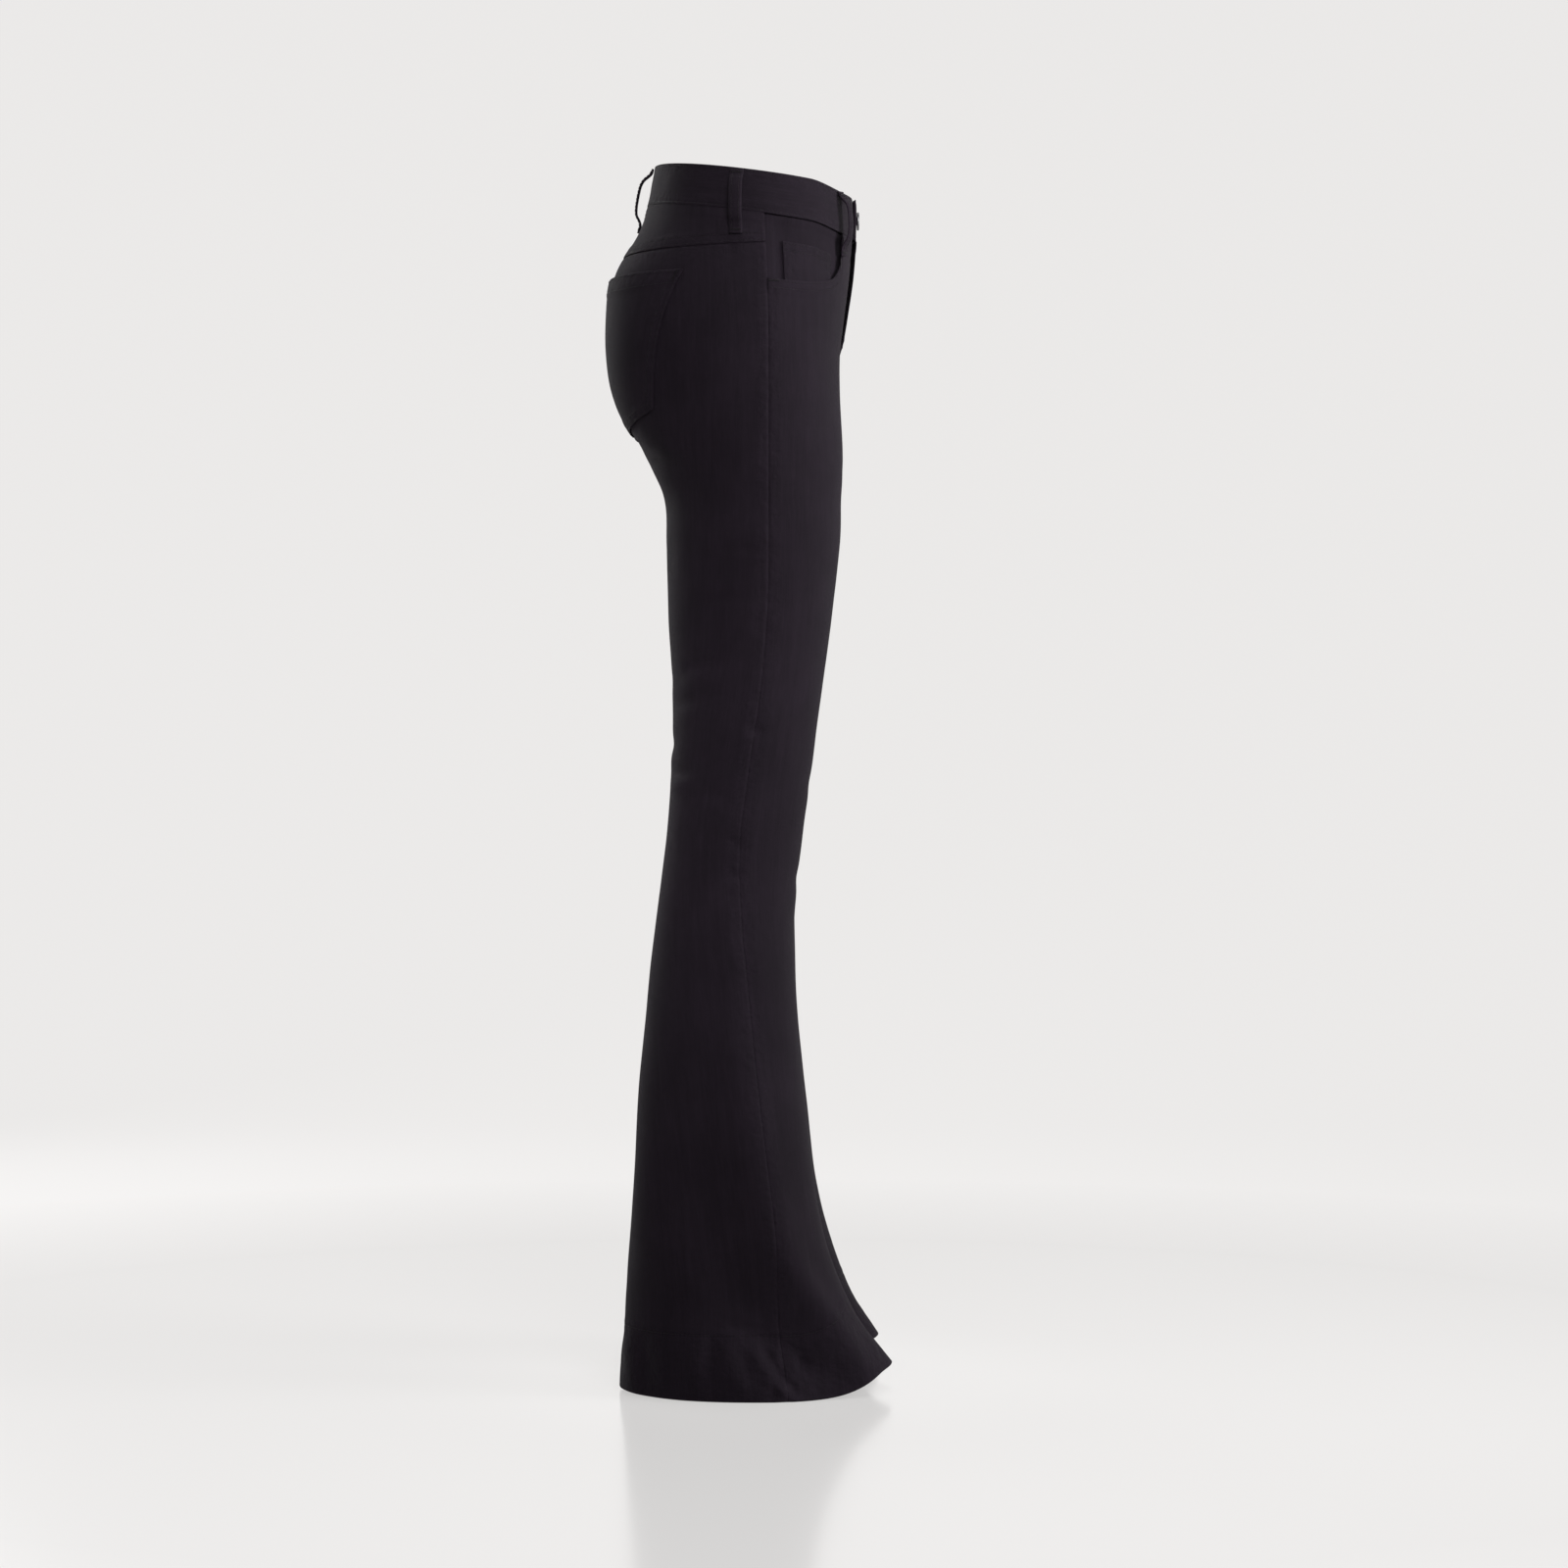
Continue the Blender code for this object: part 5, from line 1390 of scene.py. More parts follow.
def make_allowance(seam, side, top, bottom):
    """The trimmed edges inside a seam, as one strip that runs under it from side to side."""
    offset = np.array([-ALLOWANCE, -0.45 * ALLOWANCE, 0.0, 0.45 * ALLOWANCE, ALLOWANCE])
    run = np.linspace(0, 1, max(16, round((top - bottom) / 0.005)))
    share = {"side": run, "inseam": run**2}.get(seam, 1 - (1 - run) ** 2)
    offset, z = np.meshgrid(offset, top + (bottom - top) * share)
    front, back = FORM.girths(z)
    away = np.abs(offset)
    s = {
        "centre_front": away / front,
        "centre_back": 2 - away / back,
        "side": np.where(offset < 0, 1 - away / front, 1 + away / back),
        "inseam": np.where(offset < 0, away / front, 2 - away / back),
    }[seam]
    depth = ALLOWANCE_DEPTH_SIDE if seam == "side" else ALLOWANCE_DEPTH
    points = cloth_points(side, s, z, -depth)
    name = f"allowance_{seam}"
    if seam.startswith("centre"):
        points = np.where(offset[..., None] < 0, points, cloth_points(-side, s, z, -depth))
    else:
        name += f"_{WORD[side]}"
    inward = seam in ("centre_front", "inseam")
    wear = 0.35 * bell(ALLOWANCE - away, 0.0012)
    u, v = offset + 0.5 * side, z + 3.0
    return cloth_piece(name, points, u, v, wear=wear, thick=ALLOWANCE_THICK, flip=(side > 0) != inward)


# ---------------------------------------------------------------- waistband, loops, hems


def band_stations(step):
    """Side, s and lift of the waistband's stations, from its underlap round to the end that laps over it."""
    girth = front_girth(waist_edge(0.0, BAND_HEIGHT / 2))
    edge = np.array(EDGE_STOPS)
    under = np.linspace(UNDERLAP, 0.0015, 14) / girth
    half = np.linspace(0, 2, round(2 * girth / step))
    left = half[::-1][half[::-1] > LAP_RISE_FROM / girth][1:]
    even = np.arange(LAP_RISE_FROM - step, -LAP_PAST_CENTRE + edge[-1], -step)
    lap = np.concatenate([[LAP_RISE_FROM], even, -LAP_PAST_CENTRE + edge[::-1]])
    side = np.repeat([LEFT, RIGHT, LEFT], [len(under), len(half), len(left) + len(lap)])
    s = np.concatenate([under, half, left, lap / girth])
    lift = np.zeros(len(s))
    lift[-len(lap):] = LAP_LIFT * smoothstep(LAP_RISE_FROM, LAP_RISE_TO, lap)
    return side, s, lift


def band_relief(drop, run):
    """The waistband's rounded edges, its sunk rows of stitching and its gentle ripples between them."""
    edge = np.minimum(drop, BAND_HEIGHT - drop)
    rows = bell(edge - BAND_ROW, ROW_WIDTH)
    ripple = soft_noise(run / 0.020, drop / 0.016, 41) * smoothstep(0, 0.008, edge)
    return BAND_PROUD + turned_edge(edge) - 0.00035 * rows + 0.00035 * ripple


def band_line(stations, drop, out=0.0):
    side, s, lift = stations
    level = waist_edge(s, drop)
    relief = band_relief(np.full(len(s), drop), s * 0.21 * side) + lift + out
    right, left = (cloth_points(which, s, level, relief) for which in (RIGHT, LEFT))
    return np.where((side == RIGHT)[:, None], right, left)


def make_waistband():
    step = cut().step * 0.8
    stations = band_stations(step)
    drops = stops(BAND_HEIGHT, step)
    points = np.stack([band_line(stations, drop) for drop in drops])
    run = np.concatenate([[0], np.cumsum(np.linalg.norm(np.diff(points[0], axis=0), axis=1))])
    edge, end = np.broadcast_arrays(np.minimum(drops, BAND_HEIGHT - drops)[:, None], run[-1] - run)
    seam, wear = seam_mask(edge) * 0.7, worn_mask(0, edge, end)
    return cloth_piece("waistband", points, drops[:, None] + 0.3, run, seam, wear, thick=BAND_THICK)


def loop_frame(loop):
    """A belt loop's direction across and outward."""
    level = waist_edge(loop.s, BAND_HEIGHT / 2)
    before, after = (cloth_points(loop.side, min(loop.s + ds, 2), level) for ds in (-0.03, 0.03))
    across = after - before
    across[2] = 0
    if loop.s == 2.0:
        across = np.array([1.0, 0.0, 0.0])
    across /= np.linalg.norm(across)
    outward = np.array([across[1], -across[0], 0.0])
    centre = cloth_points(loop.side, loop.s, level)
    if np.dot(outward[:2], centre[:2]) < 0:
        outward = -outward
    return across, outward


def loop_offset(loop, drop):
    """How far the loop's underside stands off the form at each distance down it."""
    on_band, off_band = BAND_PROUD + 0.0003, BAND_PROUD + loop.gap
    drops = (0.000, 0.004, 0.009, 0.015, 0.024, 0.034, 0.042, 0.048, 0.052, LOOP_LENGTH)
    share = (0.0, 0.0, 0.72, 0.96, 1.0, 0.94, 0.74, 0.20, 0.0, 0.0)
    base = np.interp(drop, (0.0, 0.044, 0.051, LOOP_LENGTH), (on_band, on_band, 0.0006, 0.0006))
    curve = np.interp(drop, drops, share)
    soft = sum(np.interp(drop + k * 0.0015, drops, share) for k in (-2, -1, 0, 1, 2)) / 5
    return base + (off_band - on_band) * (0.3 * curve + 0.7 * soft)


def loop_surface(loop, offset, drop, out=0.0):
    """A point of a loop's outside, by its offset across and its distance down."""
    across, outward = loop_frame(loop)
    drop = np.asarray(drop, float)
    s = np.full(drop.shape, loop.s)
    at = cloth_points(loop.side, s, waist_edge(loop.s, 0.0) - 0.0012 - drop)
    crown = 0.0005 * (1 - (offset / (LOOP_WIDTH / 2)) ** 2)
    lift = loop_offset(loop, drop) + LOOP_THICK + crown + turned_edge(LOOP_WIDTH / 2 - np.abs(offset)) + out
    return at + across * offset[..., None] + outward * lift[..., None]


def make_belt_loop(loop, stitching):
    half = LOOP_WIDTH / 2
    to_edge = np.array([0.0, 0.0002, 0.0006, 0.0012, 0.0020, 0.0030, 0.0045])
    offsets = [*(to_edge - half), 0, *(half - to_edge[::-1])]
    offset, drop = np.meshgrid(offsets, np.linspace(0, LOOP_LENGTH, 46))
    edge = np.minimum(half - np.abs(offset), np.minimum(drop, LOOP_LENGTH - drop) + 0.0005)
    points, wear = loop_surface(loop, offset, drop), worn_mask(0.15, edge)
    u, v = offset + 0.1 * loop.s, drop + 2.0
    piece = cloth_piece(loop.name, points, u, v, wear=wear, thick=LOOP_THICK * 0.95, flip=loop.side > 0)
    place = partial(loop_surface, loop)
    for offset in (-0.0032, 0.0032):
        stitching.on(place, np.full(120, offset), np.linspace(0.002, LOOP_LENGTH - 0.002, 120))
    for at in (0.0028, LOOP_LENGTH - 0.0030):
        bartack(stitching, lambda along, across, out: place(along, at + across, out), 0.0100)
    return piece


def bartack(stitching, place, length, height=0.0022, count=16):
    """A close zigzag that fastens a corner. place(along, across, out) puts a point on the piece."""
    along = np.linspace(-length / 2, length / 2, count)
    low, high = np.full(count, -height / 2), np.full(count, height / 2)
    start, end = place(along, low, 0.0001), place(along + length / count * 0.3, high, 0.0001)
    normal = place(along, low, 0.001) - place(along, low, 0.0)
    stitching.bars(start, end, normal, cut().thread * 0.95)


def make_hem(side):
    """The turned-up cloth inside the leg, from the edge up to its stitched line."""
    step = cut().step
    front = stops(FRONT_REFERENCE, step) / FRONT_REFERENCE
    back = 1 + stops(BACK_REFERENCE, step)[1:] / BACK_REFERENCE
    s = np.concatenate([front, back])
    above = stops(HEM_DEPTH, step * 0.8)[::-1, None]
    z = hem_edge(s) + above
    s = np.broadcast_to(s, z.shape)
    relief = hem_relief(side, s, z) - turned_edge(above)
    points = cloth_points(side, s, z, relief * 0.9 - 0.0014 + 0.00055 * bell(above, 0.0006))
    u, v = from_side_seam(s, z) + 3 * side, z + 0.2
    wear = 0.4 * bell(above, 0.002)
    return cloth_piece(f"hem_{WORD[side]}", points, u, v, 0.8, wear, "hem", flip=side > 0)


# ---------------------------------------------------------------- fly hardware


def zip_place(across, z, out=0.0):
    """A point on the zip's front, behind the fronts. across is from the centre, minus to the right."""
    across, z = np.broadcast_arrays(np.asarray(across, float), np.asarray(z, float))
    s = np.abs(across) / front_girth(z)
    right, left = (cloth_points(side, s, z, -ZIP_DEPTH + out) for side in (RIGHT, LEFT))
    return np.where((across <= 0)[..., None], right, left)


def hardware_from(bm, name, smooth=False):
    """The metal piece that the faces collected in a bmesh make."""
    mesh = bpy.data.meshes.new(name)
    bm.to_mesh(mesh)
    bm.free()
    if smooth:
        mesh.shade_smooth()
    return add_object(name, mesh, "metal")


def make_zip():
    """The zip's tape, and its two rows of teeth meshed in one line."""
    top = waist_edge(0.0, BAND_HEIGHT) - 0.002
    width = np.linspace(-ZIP_HALF_WIDTH, ZIP_HALF_WIDTH, 15) + ZIP_FROM_CENTRE
    across, z = np.meshgrid(width, np.linspace(top, ZIP_END_LEVEL, 50))
    points = zip_place(across, z)
    piece = cloth_piece("zip", points, across, z, 0, 0, "tape", ZIP_THICK * 0.6, flip=True)
    teeth = bmesh.new()
    for i in range(int((top - ZIP_END_LEVEL) / TOOTH_PITCH)):
        aside = TOOTH_ASIDE if i % 2 else -TOOTH_ASIDE
        at = zip_place(ZIP_FROM_CENTRE + aside, top - TOOTH_PITCH * (i + 0.5), -0.0001)
        made = bmesh.ops.create_cube(teeth, size=1.0)
        place = Matrix.Translation(Vector(at)) @ Matrix.Diagonal((*TOOTH_SIZE, 1.0))
        bmesh.ops.transform(teeth, matrix=place, verts=made["verts"])
    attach(hardware_from(teeth, "zip_teeth"), "root")
    return piece


def make_button():
    """A domed shank button with a plain rolled rim and a ring of beading."""
    level = waist_edge(0.0, BAND_HEIGHT / 2)
    lap = cloth_points(LEFT, BUTTON_X / front_girth(level), level, BAND_PROUD + LAP_LIFT)
    place = Matrix.Translation(Vector(lap)) @ Matrix.Rotation(math.radians(90), 4, "X")
    r, h = BUTTON_RADIUS, BUTTON_DEPTH
    profile = [(r * across, h * up) for across, up in BUTTON_PROFILE]
    profile += [(r * 0.90, 0.0005), (SHANK_RADIUS * 1.3, 0.0005), (SHANK_RADIUS, 0.0)]
    profile += [(SHANK_RADIUS, 0.0001 - LAP_LIFT), (0.0, 0.0001 - LAP_LIFT)]
    mesh = bpy.data.meshes.new("button")
    mesh.from_pydata([(x, 0.0, y) for x, y in profile], [(i, i + 1) for i in range(len(profile) - 1)], [])
    button = add_object("button", mesh, "metal")
    turn = button.modifiers.new("Turn", "SCREW")
    turn.axis = "Z"
    turn.steps = turn.render_steps = 48
    turn.use_merge_vertices = True
    turn.merge_threshold = 0.00001
    beads = bmesh.new()
    for i in range(BEADS):
        a = i * 2 * math.pi / BEADS
        made = bmesh.ops.create_uvsphere(beads, u_segments=8, v_segments=6, radius=BEAD_RADIUS)
        at = Vector((math.cos(a) * r * BEAD_RING[0], math.sin(a) * r * BEAD_RING[0], h * BEAD_RING[1]))
        bmesh.ops.translate(beads, vec=at, verts=made["verts"])
    for piece in (button, hardware_from(beads, "button_beading", smooth=True)):
        piece.matrix_world = place
        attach(piece, "root")
    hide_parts("button")
    return button


def buttonhole(stitching):
    """Close stitches round the buttonhole in the waistband's lap."""
    girth = front_girth(waist_edge(0.0, BAND_HEIGHT / 2))

    def place(along, across, out):
        s = (BUTTON_X + along) / girth
        level = waist_edge(np.abs(s), BAND_HEIGHT / 2) + across
        return cloth_points(LEFT, s, level, BAND_PROUD + LAP_LIFT + out)

    along = np.linspace(*BUTTONHOLE, 44)
    normal = place(along, 0.0, 0.001) - place(along, 0.0, 0.0)
    for sign in (-1, 1):
        ends = BUTTONHOLE_SLIT, BUTTONHOLE_SLIT + BUTTONHOLE_STITCH
        start, end = (place(along, sign * from_slit, 0.0001) for from_slit in ends)
        stitching.bars(start, end, normal, BUTTONHOLE_THREAD)


# ---------------------------------------------------------------- rows of topstitching


def fly_stitching(inset):
    """The fly's row, as distances from the centre and levels: straight down, then curving in to the seam."""
    turn = np.linspace(0, math.pi / 2, 60)
    width, foot = FLY_ROW - inset, FLY_END_LEVEL + inset
    top = waist_edge(0.15, BAND_HEIGHT) - 0.001
    bend = foot + FLY_CURVE
    z = np.concatenate([np.linspace(top, bend, 120), (bend - FLY_CURVE * np.sin(turn))[1:]])
    across = np.concatenate([np.full(120, width), (width * np.cos(turn))[1:]])
    keep = across > 0.001
    return across[keep], z[keep]


def tack_on(place, level, centre=None, from_side=None, upright=False):
    """A small flat place on a front for a bartack, by its distance from the centre or the side seam."""

    def at(along, across, out):
        if upright:
            along, across = across, along
        z = level + across
        girth = front_girth(z)
        s = (centre + along) / girth if from_side is None else 1 - (from_side + along) / girth
        return place(s, z, out)

    return at


def stitch_front(side):
    rows = Stitching(f"stitches_front_{WORD[side]}")
    place = on_cloth(front_relief, side)
    for distance in ROWS:
        z = np.linspace(FORK_LEVEL - 0.014, HEM_LEVEL + HEM_DEPTH, 1400)
        rows.on(place, distance / front_girth(z), z)
        s = np.linspace(0.30, 0.9995, 400)
        level = scoop_edge(s)
        girth = front_girth(level)
        u, v = offset_line((s - 1) * girth, level, distance)
        under_band = waist_edge(np.clip(1 + u / girth, 0, 1), BAND_HEIGHT) - 0.001
        keep = (u < -0.0015) & (u > -SCOOP_WIDTH - 0.004) & (v < under_band)
        rows.on(place, 1 + u[keep] / front_girth(v[keep]), v[keep])
        if side == LEFT:
            z = np.linspace(FLY_END_LEVEL - 0.020, FORK_LEVEL + 0.006, 160)
            rows.on(place, distance / front_girth(z), z)
    if side == LEFT:
        for inset in (0.0, 0.0060):
            across, z = fly_stitching(inset)
            rows.on(place, across / front_girth(z), z)
        for level, centre in ((FLY_END_LEVEL - 0.004, 0.003), (FLY_END_LEVEL + 0.028, 0.0315)):
            bartack(rows, tack_on(place, level, centre, upright=True), 0.0090)
    mouth = tack_on(place, scoop_edge(0.47) - 0.006, from_side=SCOOP_WIDTH - 0.003, upright=True)
    for tack in (mouth, tack_on(place, -0.1125, from_side=0.005)):
        bartack(rows, tack, 0.0080)
    rows.piece()


def patch_tack(patch, corner, along, across, out):
    """A small flat place in a corner of a back pocket's mouth for a bartack."""
    return patch(corner + across / POCKET_WIDTH, 0.045 + along / POCKET_HEIGHT, out)


def stitch_back(side):
    rows = Stitching(f"stitches_back_{WORD[side]}")
    back, yoke, patch = on_cloth(back_relief, side), on_cloth(yoke_relief, side), patch_place(side)
    if side == LEFT:
        for distance in ROWS:
            z = np.linspace(YOKE_CENTRE_LEVEL - 0.001, FORK_LEVEL + 0.006, 300)
            rows.on(back, 2 - distance / back_girth(z), z)
    for distance in ROWS:
        s = np.linspace(1.004, 1.996, 300)
        rows.on(yoke, s, yoke_edge(s) + distance)
        if side == LEFT:
            z = np.linspace(waist_edge(2.0, BAND_HEIGHT) - 0.001, YOKE_CENTRE_LEVEL + 0.010, 60)
            rows.on(yoke, 2 - distance / back_girth(z), z)
    for distance in ROWS:
        foot = 1 - distance / POCKET_HEIGHT
        down = [np.linspace(0.012, foot, 160), np.full(160, foot), np.linspace(foot, 0.012, 160)]
        down = np.concatenate(down)
        inset = distance / (POCKET_WIDTH - (POCKET_WIDTH - POCKET_FOOT_WIDTH) * down)
        along_foot = np.linspace(inset[160], 1 - inset[160], 160)
        rows.on(patch, np.concatenate([inset[:160], along_foot, 1 - inset[320:]]), down)
    for drop in (0.0120, 0.0020):
        rows.on(patch, np.linspace(0.02, 0.98, 260), np.full(260, drop / POCKET_HEIGHT))
    for corner in (0.035, 0.965):
        bartack(rows, partial(patch_tack, patch, corner), 0.0090)
    rows.piece()


def stitch_band():
    """The waistband's two rows, from the end of its underlap to its lap."""
    rows = Stitching("stitches_waistband")
    side, s, lift = band_stations(0.0015)
    keep = (side == RIGHT) | (lift > 0) | (np.arange(len(s)) >= 20)
    stations = (side[keep], s[keep], lift[keep])
    for drop in (BAND_ROW, BAND_HEIGHT - BAND_ROW):
        line = band_line(stations, drop)
        normal = band_line(stations, drop, 0.001) - line
        rows.along(line[:-6], normal[:-6])
    buttonhole(rows)
    return rows


def stitch_coin_pocket():
    rows = Stitching("stitches_coin_pocket")
    for drop in ROWS:
        rows.on(coin_place, np.linspace(0.002, COIN_WIDTH - 0.002, 120), np.full(120, drop))
    for across in (FIRST_ROW, COIN_WIDTH - FIRST_ROW):
        rows.on(coin_place, np.full(120, across), np.linspace(0.002, COIN_HEIGHT, 120))
    rows.piece()


def stitch_hem(side):
    rows = Stitching(f"stitches_hem_{WORD[side]}")
    for relief, first in ((front_relief, 0.004), (back_relief, 1.004)):
        s = np.linspace(first, first + 0.992, 600)
        rows.on(on_cloth(relief, side), s, hem_edge(s) + HEM_ROW)
    rows.piece()


# ---------------------------------------------------------------- operators


class JEANS_OT_fronts(Operator):
    """Cut the two fronts, with the fly's lap and the pocket mouths"""

    bl_idname = "jeans.fronts"
    bl_label = "Fronts"

    def execute(self, context):
        for side in (RIGHT, LEFT):
            piece = make_front(side)
            edges = [
                make_allowance("side", side, SIDE_SEAM_TOP, HEM_SEAM_END),
                make_allowance("inseam", side, FORK_LEVEL - 0.0003, HEM_SEAM_END),
            ]
            if side == RIGHT:
                edges.append(make_allowance("centre_front", side, FLY_END_LEVEL + 0.004, FORK_LEVEL - 0.0004))
            area = cloth_area(piece, 3)
        return {"FINISHED"}


class JEANS_OT_backs(Operator):
    """Cut the two backs and the two yokes over them"""

    bl_idname = "jeans.backs"
    bl_label = "Backs and Yokes"

    def execute(self, context):
        for side in (RIGHT, LEFT):
            piece = make_back(side)
            edges = []
            if side == RIGHT:
                edges = [make_allowance("centre_back", side, CENTRE_BACK_TOP, FORK_LEVEL + 0.0003)]
            area = cloth_area(piece, 3)
            yoke = make_yoke(side)
            area = cloth_area(yoke, 4)
        return {"FINISHED"}


class JEANS_OT_pockets(Operator):
    """Add the front pocket facings, the coin pocket and the back patch pockets"""

    bl_idname = "jeans.pockets"
    bl_label = "Pockets"

    def execute(self, context):
        for side in (RIGHT, LEFT):
            facing = make_facing(side)
            area = cloth_area(facing, 4)
            pocket = make_back_pocket(side)
            area = cloth_area(pocket, 4)
        coin = make_coin_pocket()
        stitch_coin_pocket()
        return {"FINISHED"}


class JEANS_OT_waistband(Operator):
    """Add the waistband, its belt loops and their stitching"""

    bl_idname = "jeans.waistband"
    bl_label = "Waistband and Loops"

    def execute(self, context):
        piece = make_waistband()
        rows = stitch_band()
        for loop in BELT_LOOPS:
            piece = make_belt_loop(loop, rows)
        rows.piece()
        return {"FINISHED"}


class JEANS_OT_hems(Operator):
    """Turn up the two hems inside the flares"""

    bl_idname = "jeans.hems"
    bl_label = "Hems"

    def execute(self, context):
        for side in (RIGHT, LEFT):
            hem = make_hem(side)
            stitch_hem(side)
        return {"FINISHED"}


class JEANS_OT_hardware(Operator):
    """Add the zip, its slider's finish and the button"""

    bl_idname = "jeans.hardware"
    bl_label = "Zip and Button"

    def execute(self, context):
        tape = make_zip()
        make_button()
        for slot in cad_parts["zip_slider"].material_slots:
            slot.material = FINISHES["metal"]
        return {"FINISHED"}


class JEANS_OT_topstitching(Operator):
    """Sew the rows of topstitching on the fronts, backs and pockets"""

    bl_idname = "jeans.topstitching"
    bl_label = "Topstitching"

    def execute(self, context):
        for side in (RIGHT, LEFT):
            stitch_front(side)
            stitch_back(side)
        return {"FINISHED"}


class JEANS_OT_stage(Operator):
    """Set up the pale floor and backdrop, the lamps and the camera"""

    bl_idname = "jeans.stage"
    bl_label = "Studio"

    def execute(self, context):
        stage = context.scene.jeans_stage
        level = CAD_BOX[0][2] - 0.0005
        bend = [(math.sin(a), 1 - math.cos(a)) for a in np.linspace(0.1, math.pi / 2, 14)]
        profile = [(-SWEEP, 0.0), (WALL_FROM, 0.0)]
        profile += [(WALL_FROM + WALL_BEND * x, WALL_BEND * z) for x, z in bend]
        profile += [(WALL_FROM + WALL_BEND, SWEEP)]
        verts = [(x, y, level + z) for x, z in profile for y in (-SWEEP, SWEEP)]
        faces = [(2 * i, 2 * i + 2, 2 * i + 3, 2 * i + 1) for i in range(len(profile) - 1)]
        mesh = bpy.data.meshes.new("studio_floor")
        mesh.from_pydata(verts, [], faces)
        mesh.shade_smooth()
        mesh.materials.append(self.floor_finish(stage))
        floor = bpy.data.objects.new("studio_floor", mesh)
        context.scene.collection.objects.link(floor)
        world = bpy.data.worlds.new("Studio Room")
        context.scene.world = world
        world.use_nodes = True
        n = Nodes(world.node_tree)
        place = n.add("ShaderNodeTexCoord").outputs["Generated"]
        height = n.add("ShaderNodeSeparateXYZ", {0: place}).outputs[2]
        below, above = [(*(c * share for c in stage.room), 1) for share in (0.25, 1.0)]
        room = world.node_tree.nodes["Background"]
        light = n.mix(n.range(height, -0.5, 0.7), below, above)
        n.feed(room, {"Color": light, "Strength": stage.room_strength})
        backdrop = n.add("ShaderNodeBackground", {"Color": above, "Strength": stage.glow})
        seen = n.add("ShaderNodeLightPath").outputs["Is Camera Ray"]
        surface = n.choose(seen, room.outputs[0], backdrop.outputs[0])
        n.feed(world.node_tree.nodes["World Output"], {"Surface": surface})
        for name, place, target, power, spread in (
            ("key_light", (-0.45, -1.55, 0.05), (0.0, 0.0, -0.30), stage.key, 110),
            ("fill_light", (-1.8, -0.30, 0.9), (0.0, 0.0, -0.35), stage.fill, 180),
            ("back_light", (1.7, 1.3, 0.1), (0.0, 0.0, -0.45), stage.back, 180),
        ):
            disk = {"shape": "DISK", "size": 0.9, "spread": math.radians(spread)}
            self.light(name, "AREA", place, target, power, **disk)
        for name, place, target, power, angle in (
            ("knee_light", (-1.6, 1.5, -0.45), (-0.1, 0.05, -0.60), stage.knee, 21),
            ("waist_light", (0.04, 0.0, 1.9), (0.0, 0.0, -0.2), stage.waist, 8),
        ):
            cone = {"spot_size": math.radians(angle), "spot_blend": 1.0, "shadow_soft_size": 0.25}
            self.light(name, "SPOT", place, target, power, **cone)
        self.camera(stage)
        context.scene.view_settings.view_transform = "Standard"
        return {"FINISHED"}

    @staticmethod
    def floor_finish(stage):
        """A glossy white sweep. The camera and reflections see it lit up, but it hardly lights the cloth."""
        matt = {"Base Color": (*stage.floor, 1), "Roughness": 1.0, "Specular IOR Level": 0.0}
        finish, n, plain = principled("Studio Floor", matt)
        lit = n.add("ShaderNodeEmission", {"Color": (1.0, 0.985, 0.975, 1), "Strength": stage.glow})
        glowing = n.add("ShaderNodeAddShader", {0: plain.outputs[0], 1: lit.outputs[0]})
        gloss = n.add("ShaderNodeBsdfGlossy", {"Roughness": 0.16})
        fresnel = n.add("ShaderNodeFresnel", {"IOR": 1.30})
        place = n.add("ShaderNodeNewGeometry").outputs["Position"]
        away = n.add("ShaderNodeVectorMath", {0: place}, operation="LENGTH").outputs["Value"]
        near = n.math("MULTIPLY", fresnel.outputs[0], n.range(away, 1.95, 1.5))
        polished = n.choose(near, glowing.outputs[0], gloss.outputs[0])
        ray = n.add("ShaderNodeLightPath").outputs
        seen = n.math("MAXIMUM", ray["Is Camera Ray"], ray["Is Glossy Ray"])
        surface = n.choose(seen, plain.outputs[0], polished)
        n.feed(finish.node_tree.nodes["Material Output"], {"Surface": surface})
        return finish

    @staticmethod
    def light(name, kind, place, target, power, **settings):
        lamp = bpy.data.lights.new(name, kind)
        lamp.energy = power
        for setting, value in settings.items():
            setattr(lamp, setting, value)
        made = bpy.data.objects.new(name, lamp)
        made.location = place
        made.rotation_euler = (Vector(target) - Vector(place)).to_track_quat("-Z", "Y").to_euler()
        bpy.context.scene.collection.objects.link(made)

    @staticmethod
    def camera(stage):
        """Looks along +X from the wearer's right, a little down."""
        lens = bpy.data.cameras.new("camera")
        lens.sensor_width = 36.0
        lens.lens = 121.25
        lens.clip_start = 0.05
        made = bpy.data.objects.new("camera", lens)
        made.location = (-stage.distance, -0.027, stage.eye)
        made.rotation_euler = (math.radians(90) - stage.look_down, 0, math.radians(-90))
        bpy.context.scene.collection.objects.link(made)
        bpy.context.scene.camera = made


class VIEW3D_PT_jeans(Panel):
    """Lists the steps that build the jeans, with their settings"""

    bl_label = "Flared Jeans"
    bl_idname = "VIEW3D_PT_jeans"
    bl_space_type = "VIEW_3D"
    bl_region_type = "UI"
    bl_category = "Jeans"

    def draw(self, context):
        layout = self.layout
        for group in (context.scene.jeans_cut, context.scene.jeans_colours, context.scene.jeans_stage):
            box = layout.box()
            for name in group.bl_rna.properties.keys():
                if name not in ("rna_type", "name"):
                    box.prop(group, name)
        for step in STEPS:
            layout.operator(step.bl_idname)


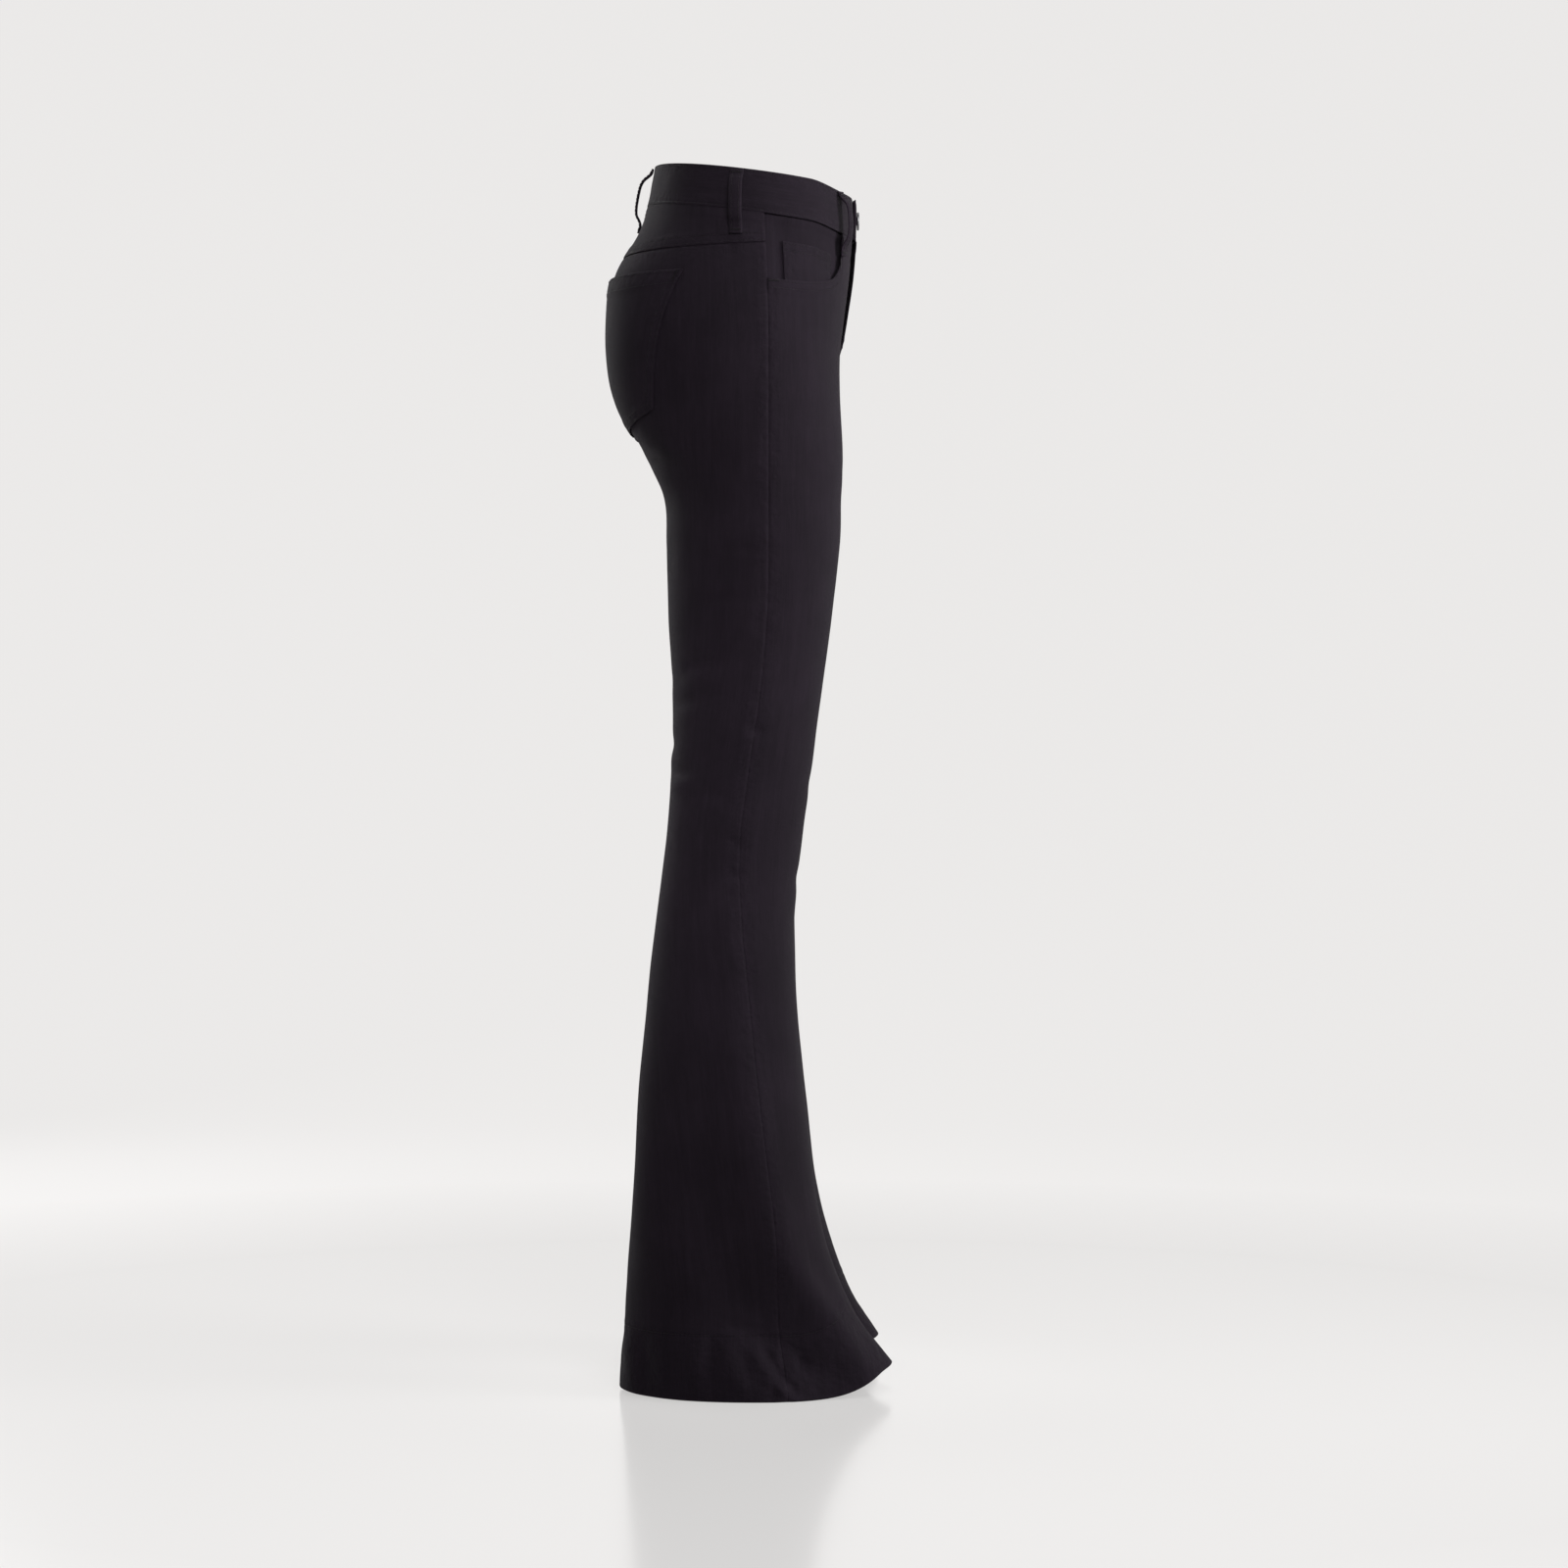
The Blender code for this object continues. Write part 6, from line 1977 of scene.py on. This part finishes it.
STEPS = (
    JEANS_OT_waistband,
    JEANS_OT_fronts,
    JEANS_OT_backs,
    JEANS_OT_pockets,
    JEANS_OT_hems,
    JEANS_OT_hardware,
    JEANS_OT_topstitching,
    JEANS_OT_stage,
)
CLASSES = (JeansCutSettings, JeansColourSettings, JeansStageSettings, *STEPS, VIEW3D_PT_jeans)


def register():
    for made in CLASSES:
        bpy.utils.register_class(made)
    bpy.types.Scene.jeans_cut = PointerProperty(type=JeansCutSettings)
    bpy.types.Scene.jeans_colours = PointerProperty(type=JeansColourSettings)
    bpy.types.Scene.jeans_stage = PointerProperty(type=JeansStageSettings)


def unregister():
    for name in ("jeans_cut", "jeans_colours", "jeans_stage"):
        delattr(bpy.types.Scene, name)
    for made in reversed(CLASSES):
        bpy.utils.unregister_class(made)


def main():
    register()
    make_finishes()
    for step in STEPS:
        group, name = step.bl_idname.split(".")
        getattr(getattr(bpy.ops, group), name)()


if __name__ == "__main__":
    main()
